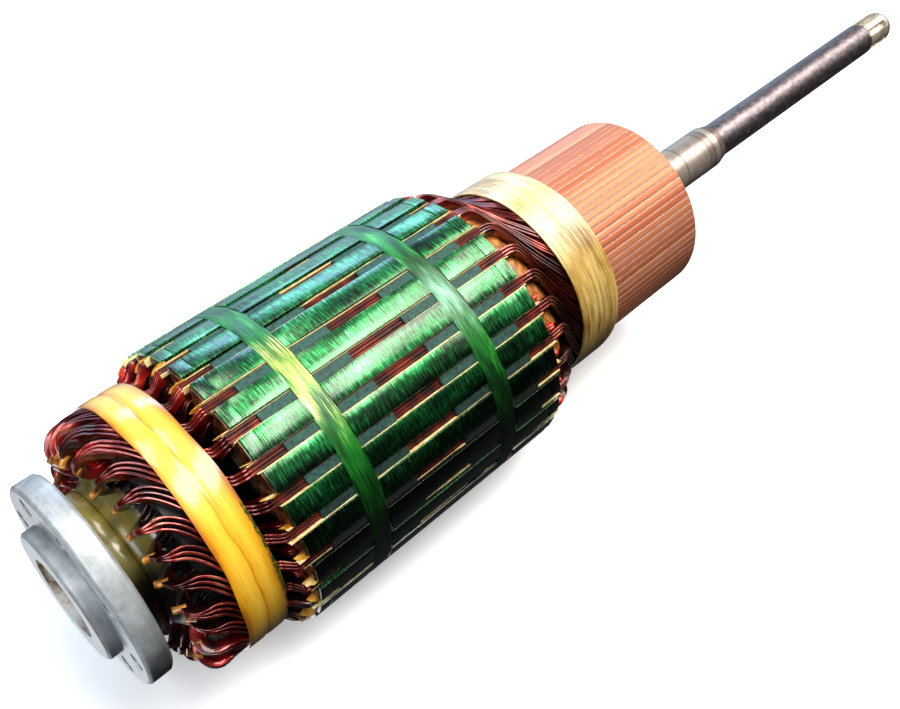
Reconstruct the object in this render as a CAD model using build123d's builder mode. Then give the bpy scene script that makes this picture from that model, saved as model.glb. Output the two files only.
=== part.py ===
from build123d import *

import os
from math import cos, pi, radians, sin

# Generator armature, lying with its shaft along X. The origin is the centre of the drive
# flange's mating face, +X runs along the shaft towards the splined tip and +Z is up. Sizes are
# in millimetres and degrees. A turn is an angle about the shaft, from +Z towards +Y.

# Clearances that neighbouring pieces share
fit_gap = 0.2
band_seat_gap = 0.3
cut_overrun = 5.0

# Laminated core
core_radius = 125.0
core_start = 125.0
core_length = 262.0
slot_count = 28
end_pack_length = 11.0
relief_width = 0.8
relief_depth = 0.8
end_sheet_wall = 1.2
end_sheet_step = 2.5

# Strands of the winding: three lie side by side in each layer of a slot
strand_count = 3
strand_width = 2.8
strand_height = 9.0
strand_groove = 0.6
layer_gap = 4.0
liner_wall = 0.5
liner_tab = 5.0

# Glass bands round the core and the packing strips under them
core_band_width = 19.0
core_band_inset = 52.5
core_band_groove = 1.5
wedge_length = 83.5
wedge_inset = 22.0
wedge_wall = 2.1

# Overhang of the winding at the drive end
coil_span_slots = 7
top_stub_length = 5.0
top_dive_length = 15.0
bottom_stub_length = 1.4
bottom_dive_length = 18.0
nose_reach_length = 72.0
nose_bend_share = 0.096
nose_pinch_share = 0.18
drive_band_drop_share = 0.104
drive_band_width = 35.0
drive_band_gap = 20.0
drive_band_wall = 1.8
drive_band_crease = 0.9

# Overhang of the winding at the commutator end
riser_gap = 90.0
sweep_inset = 10.0
upper_dive_length = 54.0
lower_dive_length = 45.0
lower_lead_drop = 13.0
fan_share = 1.2
fan_length = 30.0
comm_band_width = 47.0
comm_band_gap = 63.5
comm_band_wall = 2.5
comm_band_edge = 1.2

# Supports under the winding
support_lip = 1.8
support_step = 5.0
drive_cone_length = 7.0
comm_cone_length = 27.0
comm_drum_length = 44.0
wrap_wall = 1.2
packing_inset = 6.0

# Commutator
bars_per_slot = 3
bar_gap_share = 0.14
brush_radius = 90.0
brush_length = 127.0
riser_length = 21.0
riser_height = 4.8
bar_edge = 1.5
mica_undercut = 1.2
notch_mouth = 71.0
notch_root = 63.5
notch_foot = 55.0
notch_depth = 16.0
foot_inset = 8.0
cone_wall = 2.0
ring_lip = 7.0
sleeve_radius = 48.0
nut_radius = 46.0
nut_length = 14.0
nut_notch_count = 4
nut_notch_width = 9.0
nut_notch_depth = 5.0

# Drive flange and painted hub
flange_radius = 88.0
flange_thickness = 21.0
flange_edge = 2.5
spigot_radius = 56.0
spigot_length = 12.0
spigot_edge = 2.5
pocket_radius = 34.0
pocket_depth = 20.0
flange_bolt_count = 8
flange_bolt_circle_radius = 72.5
flange_bolt_radius = 7.5
flange_bolt_turn = 31.6
hub_share = 0.82
hub_length = 15.0
hub_edge = 1.0

# Shaft
core_seat_share = 0.328
comm_seat_radius = 34.0
collar_radius = 23.25
collar_length = 119.0
neck_radius = 21.0
neck_length = 7.0
journal_radius = 19.0
journal_length = 304.0
shaft_edge = 1.5
spline_radius = 18.5
spline_length = 52.0
spline_nose = 13.0
spline_count = 6
spline_turn = 42.5
spline_width = 8.2
spline_depth = 5.0
spline_run = 37.0

# Places along the shaft
core_end = core_start + core_length
riser_start = core_end + riser_gap
brush_start = riser_start + riser_length
brush_end = brush_start + brush_length
nut_start = brush_end + ring_lip
nut_end = nut_start + nut_length
collar_end = nut_end + collar_length
neck_end = collar_end + neck_length
journal_end = neck_end + journal_length
hub_end = flange_thickness + hub_length

# Layers of the slot, from the band groove down to the floor
groove_radius = core_radius - core_band_groove
wedge_top = groove_radius - fit_gap
top_side_radius = wedge_top - wedge_wall - fit_gap - strand_height / 2
bottom_side_radius = top_side_radius - strand_height - layer_gap
liner_floor = bottom_side_radius - strand_height / 2 - fit_gap - liner_wall
group_width = strand_count * strand_width
slot_width = group_width + 2 * (liner_wall + fit_gap)
slot_pitch = 360 / slot_count
half_span = coil_span_slots * slot_pitch / 2

# Layers of the two overhangs
nose_bend_radius = core_radius * nose_bend_share
drive_band_radius = core_radius * (1 - drive_band_drop_share)
drive_top_radius = drive_band_radius - drive_band_wall - fit_gap - strand_height / 2
drive_bottom_radius = drive_top_radius - 2 * nose_bend_radius
riser_radius = brush_radius + riser_height
comm_band_radius = riser_radius + fit_gap + comm_band_wall
lead_top_radius = riser_radius - strand_height / 2
lead_bottom_radius = lead_top_radius - lower_lead_drop
drive_drum = drive_bottom_radius - strand_height / 2 - fit_gap - wrap_wall
comm_drum = lead_bottom_radius - strand_height / 2 - fit_gap - wrap_wall
support_rim = liner_floor - support_step
hub_radius = drive_drum * hub_share
core_seat_radius = core_radius * core_seat_share

# Stations at which the bent strands are shaped, as shares of each run
run_shares = (0, 0.06, 0.12, 0.18, 0.24, 0.31, 0.40, 0.52, 0.66, 0.82, 1)
nose_shares = (0.25, 0.5, 0.75)
step_share = 0.002


def eased(share):
    """Share of a smooth bend that is done: it starts and ends without a kink."""
    held = min(max(share, 0), 1)
    return held - sin(2 * pi * held) / (2 * pi)


def on_drum(along, turn, radius):
    """Point at a place along the shaft, a turn about it and a radius from it."""
    return Vector(along, radius * sin(radians(turn)), radius * cos(radians(turn)))


def turned(outline, mode=Mode.ADD):
    """Turn a closed outline of (along, radius) points about the shaft line."""
    with BuildSketch(Plane.XY) as profile:
        with BuildLine():
            Polyline(*outline, close=True)
        make_face()
    revolve(profile.sketch, axis=Axis.X, mode=mode)


def ring(start, length, inner, outer, mode=Mode.ADD):
    """Turned ring between two radii."""
    end = start + length
    turned([(start, inner), (end, inner), (end, outer), (start, outer)], mode)


def slotted_ring(start, length, radius):
    """Sheet pack with the core's bore and slots."""
    reach = core_radius + cut_overrun
    with BuildSketch(Plane.YZ.offset(start)) as sheet:
        Circle(radius)
        Circle(core_seat_radius, mode=Mode.SUBTRACT)
        with PolarLocations((liner_floor + reach) / 2, slot_count):
            Rectangle(reach - liner_floor, slot_width, mode=Mode.SUBTRACT)
    extrude(sheet.sketch, amount=length)


def slot_strips(start, length, middle, height, width):
    """Straight strips, one in each slot."""
    with BuildSketch(Plane.YZ.offset(start)) as strips:
        with PolarLocations(middle, slot_count):
            Rectangle(height, width)
    extrude(strips.sketch, amount=length)


def strand_outline(spread):
    """Outline of a group of strands lying side by side, as (across, up) points."""
    width = strand_width * spread
    groove = strand_groove * spread
    top = strand_height / 2
    edge = group_width * spread / 2
    points = [(-edge, -top), (-edge, top)]
    for seam in range(1, strand_count):
        place = seam * width - edge
        points += [(place - groove / 2, top), (place, top - strand_groove), (place + groove / 2, top)]
    return points + [(edge, top), (edge, -top)]


def bent_strands(path, stations):
    """Loft a group of strands along a path that gives a point, its outward side and its spread."""
    first, last = stations[0], stations[-1]
    sections = []
    for station in stations:
        place, outward, spread = path(station)
        ahead = path(min(station + step_share, last))[0]
        behind = path(max(station - step_share, first))[0]
        heading = (ahead - behind).normalized()
        across = heading.cross(outward)
        with BuildSketch(Plane(place, x_dir=across, z_dir=heading)) as section:
            with BuildLine():
                Polyline(*strand_outline(spread), close=True)
            make_face()
        sections.append(section.sketch)
    loft(sections)


def coil_loop_path(station):
    """Loop at the drive end: out along the top layer, round the nose, back along the bottom."""
    run = station if station <= 1 else 3 - station
    roll = 180 * min(max(station - 1, 0), 1)
    stub, dive = top_stub_length, top_dive_length
    side, drum = top_side_radius, drive_top_radius
    if station > 1.5:
        stub, dive = bottom_stub_length, bottom_dive_length
        side, drum = bottom_side_radius, drive_bottom_radius
    if 1 < station < 2:
        out = nose_reach_length + nose_bend_radius * sin(radians(roll))
        radius = drive_top_radius - nose_bend_radius + nose_bend_radius * cos(radians(roll))
        turn = half_span
    else:
        out = stub + run * (nose_reach_length - stub)
        radius = side - (side - drum) * eased((out - stub) / dive)
        share = eased(run)
        turn = half_span * (share if station <= 1 else 2 - share)
    outward = on_drum(-sin(radians(roll)), turn, cos(radians(roll)))
    spread = 1 - nose_pinch_share * eased(1 - abs(station - 1.5))
    return on_drum(core_start - out, turn, radius), outward, spread


def lead_path(side, drum, stub, dive, way):
    """Path of a group of leads from its slot to the commutator risers."""

    def path(station):
        out = stub + station * (riser_gap - fit_gap - stub)
        radius = side - (side - drum) * eased((out - stub) / dive)
        turn = way * half_span * eased((out - sweep_inset) / (riser_gap - sweep_inset))
        fanned = eased((out - riser_gap + fan_length) / fan_length)
        spread = 1 + fan_share * fanned
        return on_drum(core_end + out, turn, radius), on_drum(0, turn, 1), spread

    return path


def around(piece, count, name):
    """Copies of one piece spaced evenly about the shaft."""
    copies = [piece.rotate(Axis.X, 360 * index / count) for index in range(count)]
    return Compound(label=name, children=copies)


def keep(shape, name):
    """Label a finished piece and write it."""
    shape.label = name
    export_step(shape, os.path.join("parts", name + ".step"))


os.makedirs("parts", exist_ok=True)

# Stepped shaft, from the flange's back to the end of the long journal
with BuildPart() as shaft:
    seat_end = core_end + riser_gap - ring_lip - cone_wall
    turned([
        (flange_thickness, 0),
        (flange_thickness, core_seat_radius),
        (seat_end, core_seat_radius),
        (seat_end, comm_seat_radius),
        (nut_end, comm_seat_radius),
        (nut_end, collar_radius),
        (collar_end - shaft_edge, collar_radius),
        (collar_end, collar_radius - shaft_edge),
        (collar_end, neck_radius),
        (neck_end, neck_radius),
        (neck_end, journal_radius),
        (journal_end - shaft_edge, journal_radius),
        (journal_end, journal_radius - shaft_edge),
        (journal_end, 0),
    ])
keep(shaft.part, "shaft")

# Splined tip with a rounded nose and round-ended grooves
with BuildPart() as spline_groove:
    with BuildSketch(Plane.XY.offset(spline_radius - spline_depth)):
        with Locations((journal_end, 0)):
            SlotOverall(2 * spline_run, spline_width)
    extrude(amount=2 * spline_depth)

with BuildPart() as spline_end:
    with BuildSketch(Plane.YZ.offset(journal_end)):
        Circle(spline_radius)
    extrude(amount=spline_length)
    fillet(spline_end.edges().sort_by(Axis.X)[-1], spline_nose)
    for index in range(spline_count):
        add(spline_groove.part.rotate(Axis.X, spline_turn + 360 * index / spline_count), mode=Mode.SUBTRACT)
keep(spline_end.part, "spline_end")

# Drive flange: mating face, raised spigot with a pilot pocket, and a ring of bolt holes
with BuildPart() as drive_flange:
    turned([
        (pocket_depth - spigot_length, 0),
        (pocket_depth - spigot_length, pocket_radius),
        (-spigot_length, pocket_radius),
        (-spigot_length, spigot_radius - spigot_edge),
        (-spigot_length + spigot_edge, spigot_radius),
        (0, spigot_radius),
        (0, flange_radius - flange_edge),
        (flange_edge, flange_radius),
        (flange_thickness - flange_edge, flange_radius),
        (flange_thickness, flange_radius - flange_edge),
        (flange_thickness, 0),
    ])
    with BuildSketch(Plane.YZ):
        with PolarLocations(flange_bolt_circle_radius, flange_bolt_count, 90 - flange_bolt_turn):
            Circle(flange_bolt_radius)
    extrude(amount=flange_thickness, mode=Mode.SUBTRACT)
keep(drive_flange.part, "drive_flange")

# Painted hub sleeve behind the flange
with BuildPart() as hub_sleeve:
    turned([
        (flange_thickness, core_seat_radius),
        (flange_thickness, hub_radius - hub_edge),
        (flange_thickness + hub_edge, hub_radius),
        (hub_end - hub_edge, hub_radius),
        (hub_end, hub_radius - hub_edge),
        (hub_end, core_seat_radius),
    ])
keep(hub_sleeve.part, "hub_sleeve")

# Painted support under the drive-end overhang, with the cone that clamps the core
with BuildPart() as drive_winding_support:
    clamp = core_start - end_sheet_wall
    cone = clamp - support_lip - drive_cone_length
    drum_start = core_start - nose_reach_length
    turned([
        (hub_end, core_seat_radius),
        (hub_end, hub_radius - hub_edge),
        (hub_end + hub_edge, hub_radius),
        (drum_start - drive_drum + hub_radius, hub_radius),
        (drum_start, drive_drum),
        (cone, drive_drum),
        (clamp - support_lip, support_rim),
        (clamp, support_rim),
        (clamp, core_seat_radius),
    ])
keep(drive_winding_support.part, "drive_winding_support")

# Insulating wrap on the drum and the packing between the two layers of the drive-end overhang
wrap_end = core_start - bottom_stub_length - bottom_dive_length
with BuildPart() as drive_drum_wrap:
    ring(drum_start, wrap_end - drum_start, drive_drum, drive_drum + wrap_wall)
keep(drive_drum_wrap.part, "drive_drum_wrap")

with BuildPart() as drive_layer_packing:
    ring(
        drum_start + packing_inset,
        wrap_end - drum_start - packing_inset,
        drive_bottom_radius + strand_height / 2 + fit_gap,
        drive_top_radius - strand_height / 2 - fit_gap,
    )
keep(drive_layer_packing.part, "drive_layer_packing")

# Core: main stack with two shallow band grooves, and a thicker pack at each end
band_starts = (core_start + core_band_inset, core_end - core_band_inset - core_band_width)
stack_start = core_start + end_pack_length
stack_length = core_length - 2 * end_pack_length
with BuildPart() as core_stack:
    slotted_ring(stack_start, stack_length, core_radius)
    for start in band_starts:
        ring(start, core_band_width, groove_radius, core_radius + cut_overrun, Mode.SUBTRACT)
    for start in (stack_start, stack_start + stack_length - relief_width):
        ring(start, relief_width, core_radius - relief_depth, core_radius + cut_overrun, Mode.SUBTRACT)
keep(core_stack.part, "core_stack")

with BuildPart() as end_pack_drive:
    slotted_ring(core_start, end_pack_length, core_radius)
keep(end_pack_drive.part, "end_pack_drive")

with BuildPart() as end_pack_comm:
    slotted_ring(core_end - end_pack_length, end_pack_length, core_radius)
keep(end_pack_comm.part, "end_pack_comm")

# Fibre sheets on the two faces of the core
with BuildPart() as end_sheet_drive:
    slotted_ring(core_start - end_sheet_wall, end_sheet_wall, core_radius - end_sheet_step)
keep(end_sheet_drive.part, "end_sheet_drive")

with BuildPart() as end_sheet_comm:
    slotted_ring(core_end, end_sheet_wall, core_radius - end_sheet_step)
keep(end_sheet_comm.part, "end_sheet_comm")

# Slot liners: a trough in each slot, with side tabs standing past the fibre sheets
with BuildPart() as slot_liners:
    liner_start = core_start - end_sheet_wall
    liner_length = core_length + 2 * end_sheet_wall
    trough_middle = (liner_floor + wedge_top) / 2
    inner_width = slot_width - 2 * liner_wall
    with BuildSketch(Plane.YZ.offset(liner_start)) as troughs:
        with PolarLocations(trough_middle, slot_count):
            Rectangle(wedge_top - liner_floor, slot_width)
        with PolarLocations(trough_middle + liner_wall, slot_count):
            Rectangle(wedge_top - liner_floor, inner_width, mode=Mode.SUBTRACT)
    extrude(troughs.sketch, amount=liner_length)
    tab_foot = top_side_radius - strand_height / 2
    tab_start = core_start - end_sheet_wall - liner_tab
    with BuildSketch(Plane.YZ.offset(tab_start)) as tabs:
        with PolarLocations((tab_foot + wedge_top) / 2, slot_count):
            Rectangle(wedge_top - tab_foot, slot_width)
            Rectangle(wedge_top - tab_foot + cut_overrun, inner_width, mode=Mode.SUBTRACT)
    extrude(tabs.sketch, amount=core_length + 2 * (end_sheet_wall + liner_tab))
keep(slot_liners.part, "slot_liners")

# Straight coil sides in the slots, in two layers
for name, middle, stub in (
    ("coil_sides_top", top_side_radius, top_stub_length),
    ("coil_sides_bottom", bottom_side_radius, bottom_stub_length),
):
    with BuildPart() as coil_side:
        with BuildSketch(Plane(on_drum(core_start - stub, 0, middle), x_dir=(0, 1, 0), z_dir=(1, 0, 0))):
            with BuildLine():
                Polyline(*strand_outline(1), close=True)
            make_face()
        extrude(amount=core_length + 2 * stub)
    keep(around(coil_side.part, slot_count, name), name)

# Formed loops of the drive-end overhang
loop_stations = list(run_shares)
loop_stations += [1 + share for share in nose_shares]
loop_stations += [3 - share for share in reversed(run_shares)]
with BuildPart() as coil_loop:
    bent_strands(coil_loop_path, loop_stations)
keep(around(coil_loop.part, slot_count, "coil_loops"), "coil_loops")

# Resin-glass band round the drive-end overhang, creased between its two laps
with BuildPart() as drive_band:
    band_end = core_start - drive_band_gap
    band_start = band_end - drive_band_width
    band_middle = (band_start + band_end) / 2
    inner_radius = drive_band_radius - drive_band_wall
    turned([
        (band_start, inner_radius),
        (band_start, drive_band_radius - drive_band_crease),
        (band_start + drive_band_crease, drive_band_radius),
        (band_middle - drive_band_crease, drive_band_radius),
        (band_middle, drive_band_radius - drive_band_crease),
        (band_middle + drive_band_crease, drive_band_radius),
        (band_end - drive_band_crease, drive_band_radius),
        (band_end, drive_band_radius - drive_band_crease),
        (band_end, inner_radius),
    ])
keep(drive_band.part, "drive_band")

# Packing strips in the slots and the glass bands that hold them
wedge_middle = wedge_top - wedge_wall / 2
with BuildPart() as wedges_drive:
    slot_strips(core_start + wedge_inset, wedge_length, wedge_middle, wedge_wall, group_width)
keep(wedges_drive.part, "wedges_drive")

with BuildPart() as wedges_comm:
    far_start = core_end - wedge_inset - wedge_length
    slot_strips(far_start, wedge_length, wedge_middle, wedge_wall, group_width)
keep(wedges_comm.part, "wedges_comm")

for name, start in zip(("core_band_drive", "core_band_comm"), band_starts):
    with BuildPart() as core_band:
        inner_radius = groove_radius + band_seat_gap
        ring(start, core_band_width, inner_radius, core_radius)
    keep(core_band.part, name)

# Leads that sweep from the slots to the commutator, in two layers
for name, side, drum, stub, dive, way in (
    ("leads_top", top_side_radius, lead_top_radius, top_stub_length, upper_dive_length, -1),
    ("leads_bottom", bottom_side_radius, lead_bottom_radius, bottom_stub_length, lower_dive_length, 1),
):
    with BuildPart() as lead:
        bent_strands(lead_path(side, drum, stub, dive, way), run_shares)
    keep(around(lead.part, slot_count, name), name)

# Support under the leads, and the packing between their two layers
with BuildPart() as comm_winding_support:
    clamp = core_end + end_sheet_wall
    cone = clamp + support_lip + comm_cone_length
    turned([
        (clamp, core_seat_radius),
        (clamp, support_rim),
        (clamp + support_lip, support_rim),
        (cone, comm_drum),
        (cone + comm_drum_length, comm_drum),
        (cone + comm_drum_length, core_seat_radius),
    ])
keep(comm_winding_support.part, "comm_winding_support")

with BuildPart() as comm_drum_wrap:
    wrap_start = core_end + bottom_stub_length + lower_dive_length
    ring(wrap_start, cone + comm_drum_length - wrap_start, comm_drum, comm_drum + wrap_wall)
keep(comm_drum_wrap.part, "comm_drum_wrap")

with BuildPart() as lead_packing:
    packing_start = core_end + comm_band_gap
    ring(
        packing_start,
        riser_start - fit_gap - packing_start,
        lead_bottom_radius + strand_height / 2 + fit_gap,
        lead_top_radius - strand_height / 2 - fit_gap,
    )
keep(lead_packing.part, "lead_packing")

# Glass band that binds the leads and the risers
with BuildPart() as comm_band:
    band_start = core_end + comm_band_gap
    band_end = band_start + comm_band_width
    inner_radius = comm_band_radius - comm_band_wall
    turned([
        (band_start, inner_radius),
        (band_start, comm_band_radius - comm_band_edge),
        (band_start + comm_band_edge, comm_band_radius),
        (band_end - comm_band_edge, comm_band_radius),
        (band_end, comm_band_radius - comm_band_edge),
        (band_end, inner_radius),
    ])
keep(comm_band.part, "comm_band")

# Commutator bars with raised risers and notched ends, and the mica between them
bar_count = slot_count * bars_per_slot
bar_pitch = 360 / bar_count
bar_arc = bar_pitch * (1 - bar_gap_share)
notch_in = [(riser_start, notch_mouth), (riser_start + notch_depth, notch_root),
            (riser_start + foot_inset, notch_foot)]
notch_out = [(brush_end - foot_inset, notch_foot), (brush_end - notch_depth, notch_root),
             (brush_end, notch_mouth)]


def bar_outline(drop, edge):
    """Side outline of a bar, or of the mica beside it, dropped below the bar's running face."""
    return notch_in[::-1] + [
        (riser_start, riser_radius - drop),
        (brush_start, riser_radius - drop),
        (brush_start, brush_radius - drop),
        (brush_end - edge, brush_radius - drop),
        (brush_end, brush_radius - drop - edge),
    ] + notch_out[::-1]


for name, drop, arc, phase in (
    ("commutator_bars", 0, bar_arc, 0),
    ("commutator_mica", mica_undercut, bar_pitch - bar_arc, bar_arc),
):
    with BuildPart() as bar:
        with BuildSketch(Plane.XY.rotated((phase, 0, 0))) as side:
            with BuildLine():
                Polyline(*bar_outline(drop, bar_edge), close=True)
            make_face()
        revolve(side.sketch, axis=Axis.X, revolution_arc=arc)
    keep(around(bar.part, bar_count, name), name)

# Insulating cones between the bars and the clamping rings
for name, notch, way in (("mica_cone_inner", notch_in, -1), ("mica_cone_outer", notch_out, 1)):
    with BuildPart() as mica_cone:
        backed = [(along + way * cone_wall, radius) for along, radius in notch]
        turned(notch + backed[::-1])
    keep(mica_cone.part, name)

# Commutator shell on the shaft, with its fixed clamping cone
with BuildPart() as commutator_shell:
    lip = riser_start - ring_lip
    turned([
        (lip, comm_seat_radius),
        (lip, notch_root),
        (riser_start - cone_wall, notch_mouth),
        (riser_start + notch_depth - cone_wall, notch_root),
        (riser_start + foot_inset - cone_wall, notch_foot),
        (riser_start + foot_inset - cone_wall, sleeve_radius),
        (brush_end - foot_inset + cone_wall, sleeve_radius),
        (brush_end - foot_inset + cone_wall, comm_seat_radius),
    ])
keep(commutator_shell.part, "commutator_shell")

# Loose clamping ring and the notched nut that draws it up
with BuildPart() as clamp_ring:
    turned([
        (brush_end - foot_inset + cone_wall, comm_seat_radius),
        (brush_end - foot_inset + cone_wall, notch_foot),
        (brush_end - notch_depth + cone_wall, notch_root),
        (brush_end + cone_wall, notch_mouth),
        (brush_end + ring_lip, notch_root),
        (brush_end + ring_lip, comm_seat_radius),
    ])
keep(clamp_ring.part, "clamp_ring")

with BuildPart() as commutator_nut:
    ring(nut_start, nut_length, comm_seat_radius, nut_radius)
    with BuildSketch(Plane.YZ.offset(nut_start)):
        with PolarLocations(nut_radius, nut_notch_count):
            Rectangle(2 * nut_notch_depth, nut_notch_width)
    extrude(amount=nut_length, mode=Mode.SUBTRACT)
keep(commutator_nut.part, "commutator_nut")
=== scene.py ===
import logging
import math
from dataclasses import dataclass, replace
from enum import Enum

import bmesh
import bpy
import numpy as np
from mathutils import Matrix, Vector


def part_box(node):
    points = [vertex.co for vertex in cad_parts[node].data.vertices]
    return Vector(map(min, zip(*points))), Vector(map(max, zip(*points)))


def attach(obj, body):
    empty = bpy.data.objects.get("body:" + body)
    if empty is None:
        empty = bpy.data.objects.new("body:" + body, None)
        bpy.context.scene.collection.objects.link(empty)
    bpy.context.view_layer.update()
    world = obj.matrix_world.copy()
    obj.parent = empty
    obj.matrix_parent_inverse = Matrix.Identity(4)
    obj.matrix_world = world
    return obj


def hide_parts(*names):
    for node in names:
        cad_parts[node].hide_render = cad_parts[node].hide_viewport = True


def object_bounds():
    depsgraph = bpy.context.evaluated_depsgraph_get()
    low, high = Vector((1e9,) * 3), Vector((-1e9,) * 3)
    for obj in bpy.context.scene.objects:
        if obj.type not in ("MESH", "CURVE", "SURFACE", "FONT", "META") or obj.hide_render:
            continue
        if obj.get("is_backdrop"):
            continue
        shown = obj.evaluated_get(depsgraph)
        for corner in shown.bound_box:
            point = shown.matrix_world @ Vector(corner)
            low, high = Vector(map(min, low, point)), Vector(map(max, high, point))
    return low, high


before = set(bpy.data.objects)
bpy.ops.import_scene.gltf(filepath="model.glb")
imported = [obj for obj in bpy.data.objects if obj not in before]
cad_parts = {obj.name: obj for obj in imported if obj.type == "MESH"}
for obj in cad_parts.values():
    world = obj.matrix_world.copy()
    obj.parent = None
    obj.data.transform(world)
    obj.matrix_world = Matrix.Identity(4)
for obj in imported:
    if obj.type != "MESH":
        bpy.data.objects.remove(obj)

LOG = logging.getLogger("armature")
MM = 0.001
FULL_TURN = 2 * math.pi
SLOT_COUNT = 28
SLOT_WIDTH = 9.8 * MM
BAR_COUNT = 84
WHITE = "#ffffff"
FAR_SIDE_LAG_DEG = 30.0
SAME_PLACE = 0.002 * MM
SAME_PLANE_DEG = 0.5

Tree = bpy.types.NodeTree
Socket = bpy.types.NodeSocket
Mesh = bpy.types.Mesh
Piece = bpy.types.Object


def linear(colour: str) -> tuple[float, float, float, float]:
    """Turn an sRGB hex colour into linear RGBA.

    Args:
        colour: Six hex digits after a hash sign.

    Returns:
        Linear red, green, blue and an alpha of one.
    """
    channels = [int(colour[i : i + 2], 16) / 255 for i in (1, 3, 5)]
    red, green, blue = [c / 12.92 if c <= 0.04045 else ((c + 0.055) / 1.055) ** 2.4 for c in channels]
    return red, green, blue, 1.0


def feed(tree: Tree, node: bpy.types.Node, inputs: dict) -> None:
    """Set or link a node's sockets.

    Args:
        tree: Tree that holds the node.
        node: The node.
        inputs: Socket name or index to a value, or to the output socket that feeds it.
    """
    for key, value in inputs.items():
        if isinstance(value, Socket):
            tree.links.new(value, node.inputs[key])
        else:
            node.inputs[key].default_value = value


def add_node(tree: Tree, kind: str, inputs: dict | None = None, **settings) -> bpy.types.Node:
    """Add a node with its settings, values and links.

    Args:
        tree: Node tree of a material, world or geometry group.
        kind: Node type identifier.
        inputs: As for feed.
        **settings: Node properties. stops gives a colour ramp's (place, hex colour) pairs.

    Returns:
        The new node.
    """
    node = tree.nodes.new(kind)
    stops = settings.pop("stops", None)
    for key, value in settings.items():
        setattr(node, key, value)
    if stops:
        ramp = node.color_ramp
        while len(ramp.elements) < len(stops):
            ramp.elements.new(1.0)
        for element, (place, colour) in zip(ramp.elements, stops):
            element.position = place
            element.color = linear(colour)
    feed(tree, node, inputs or {})
    return node


def output(tree: Tree, kind: str, inputs: dict | None = None, out: int | str = 0, **settings) -> Socket:
    """Add a node as add_node does, and give the output named or numbered out."""
    return add_node(tree, kind, inputs, **settings).outputs[out]


def eased(share: np.ndarray | float) -> np.ndarray | float:
    """Share of a smooth bend that is done, held between nought and one."""
    held = np.clip(share, 0.0, 1.0)
    return held - np.sin(FULL_TURN * held) / FULL_TURN


def on_drum(along: np.ndarray, turn: np.ndarray, radius: np.ndarray) -> np.ndarray:
    """Points at places along the shaft, turns about it from +Z towards +Y, and radii."""
    return np.stack(np.broadcast_arrays(along, radius * np.sin(turn), radius * np.cos(turn)), axis=-1)


def slot_turns() -> np.ndarray:
    """Turn of each slot about the shaft."""
    return np.arange(SLOT_COUNT) * FULL_TURN / SLOT_COUNT


def from_top(turns: np.ndarray) -> np.ndarray:
    """The same turns, measured from the top by at most half a turn either way."""
    return np.array([math.remainder(turn, FULL_TURN) for turn in turns])


def underside(tint: str, start_deg: float = 54.0, full_deg: float = 78.0) -> tuple:
    """Tints that darken an underside by turn from the top: painted shade. The far side darkens later.

    Args:
        tint: sRGB hex tint underneath.
        start_deg: Turn from the top, on the near side, where it starts to darken.
        full_deg: Turn from the top where it is fully dark.

    Returns:
        Turns in degrees and their tints, for Pen.tinted.
    """
    far_start, far_full = start_deg + FAR_SIDE_LAG_DEG, full_deg + FAR_SIDE_LAG_DEG
    return (
        (-180.0, tint), (-full_deg, tint), (-start_deg, WHITE), (far_start, WHITE), (far_full, tint), (180.0, tint)
    )


def tones(dark: str, middle: str, light: str) -> tuple:
    """Evenly spread ramp stops for a noise, which seldom leaves the middle of its range."""
    return (0.3, dark), (0.5, middle), (0.7, light)


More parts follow.
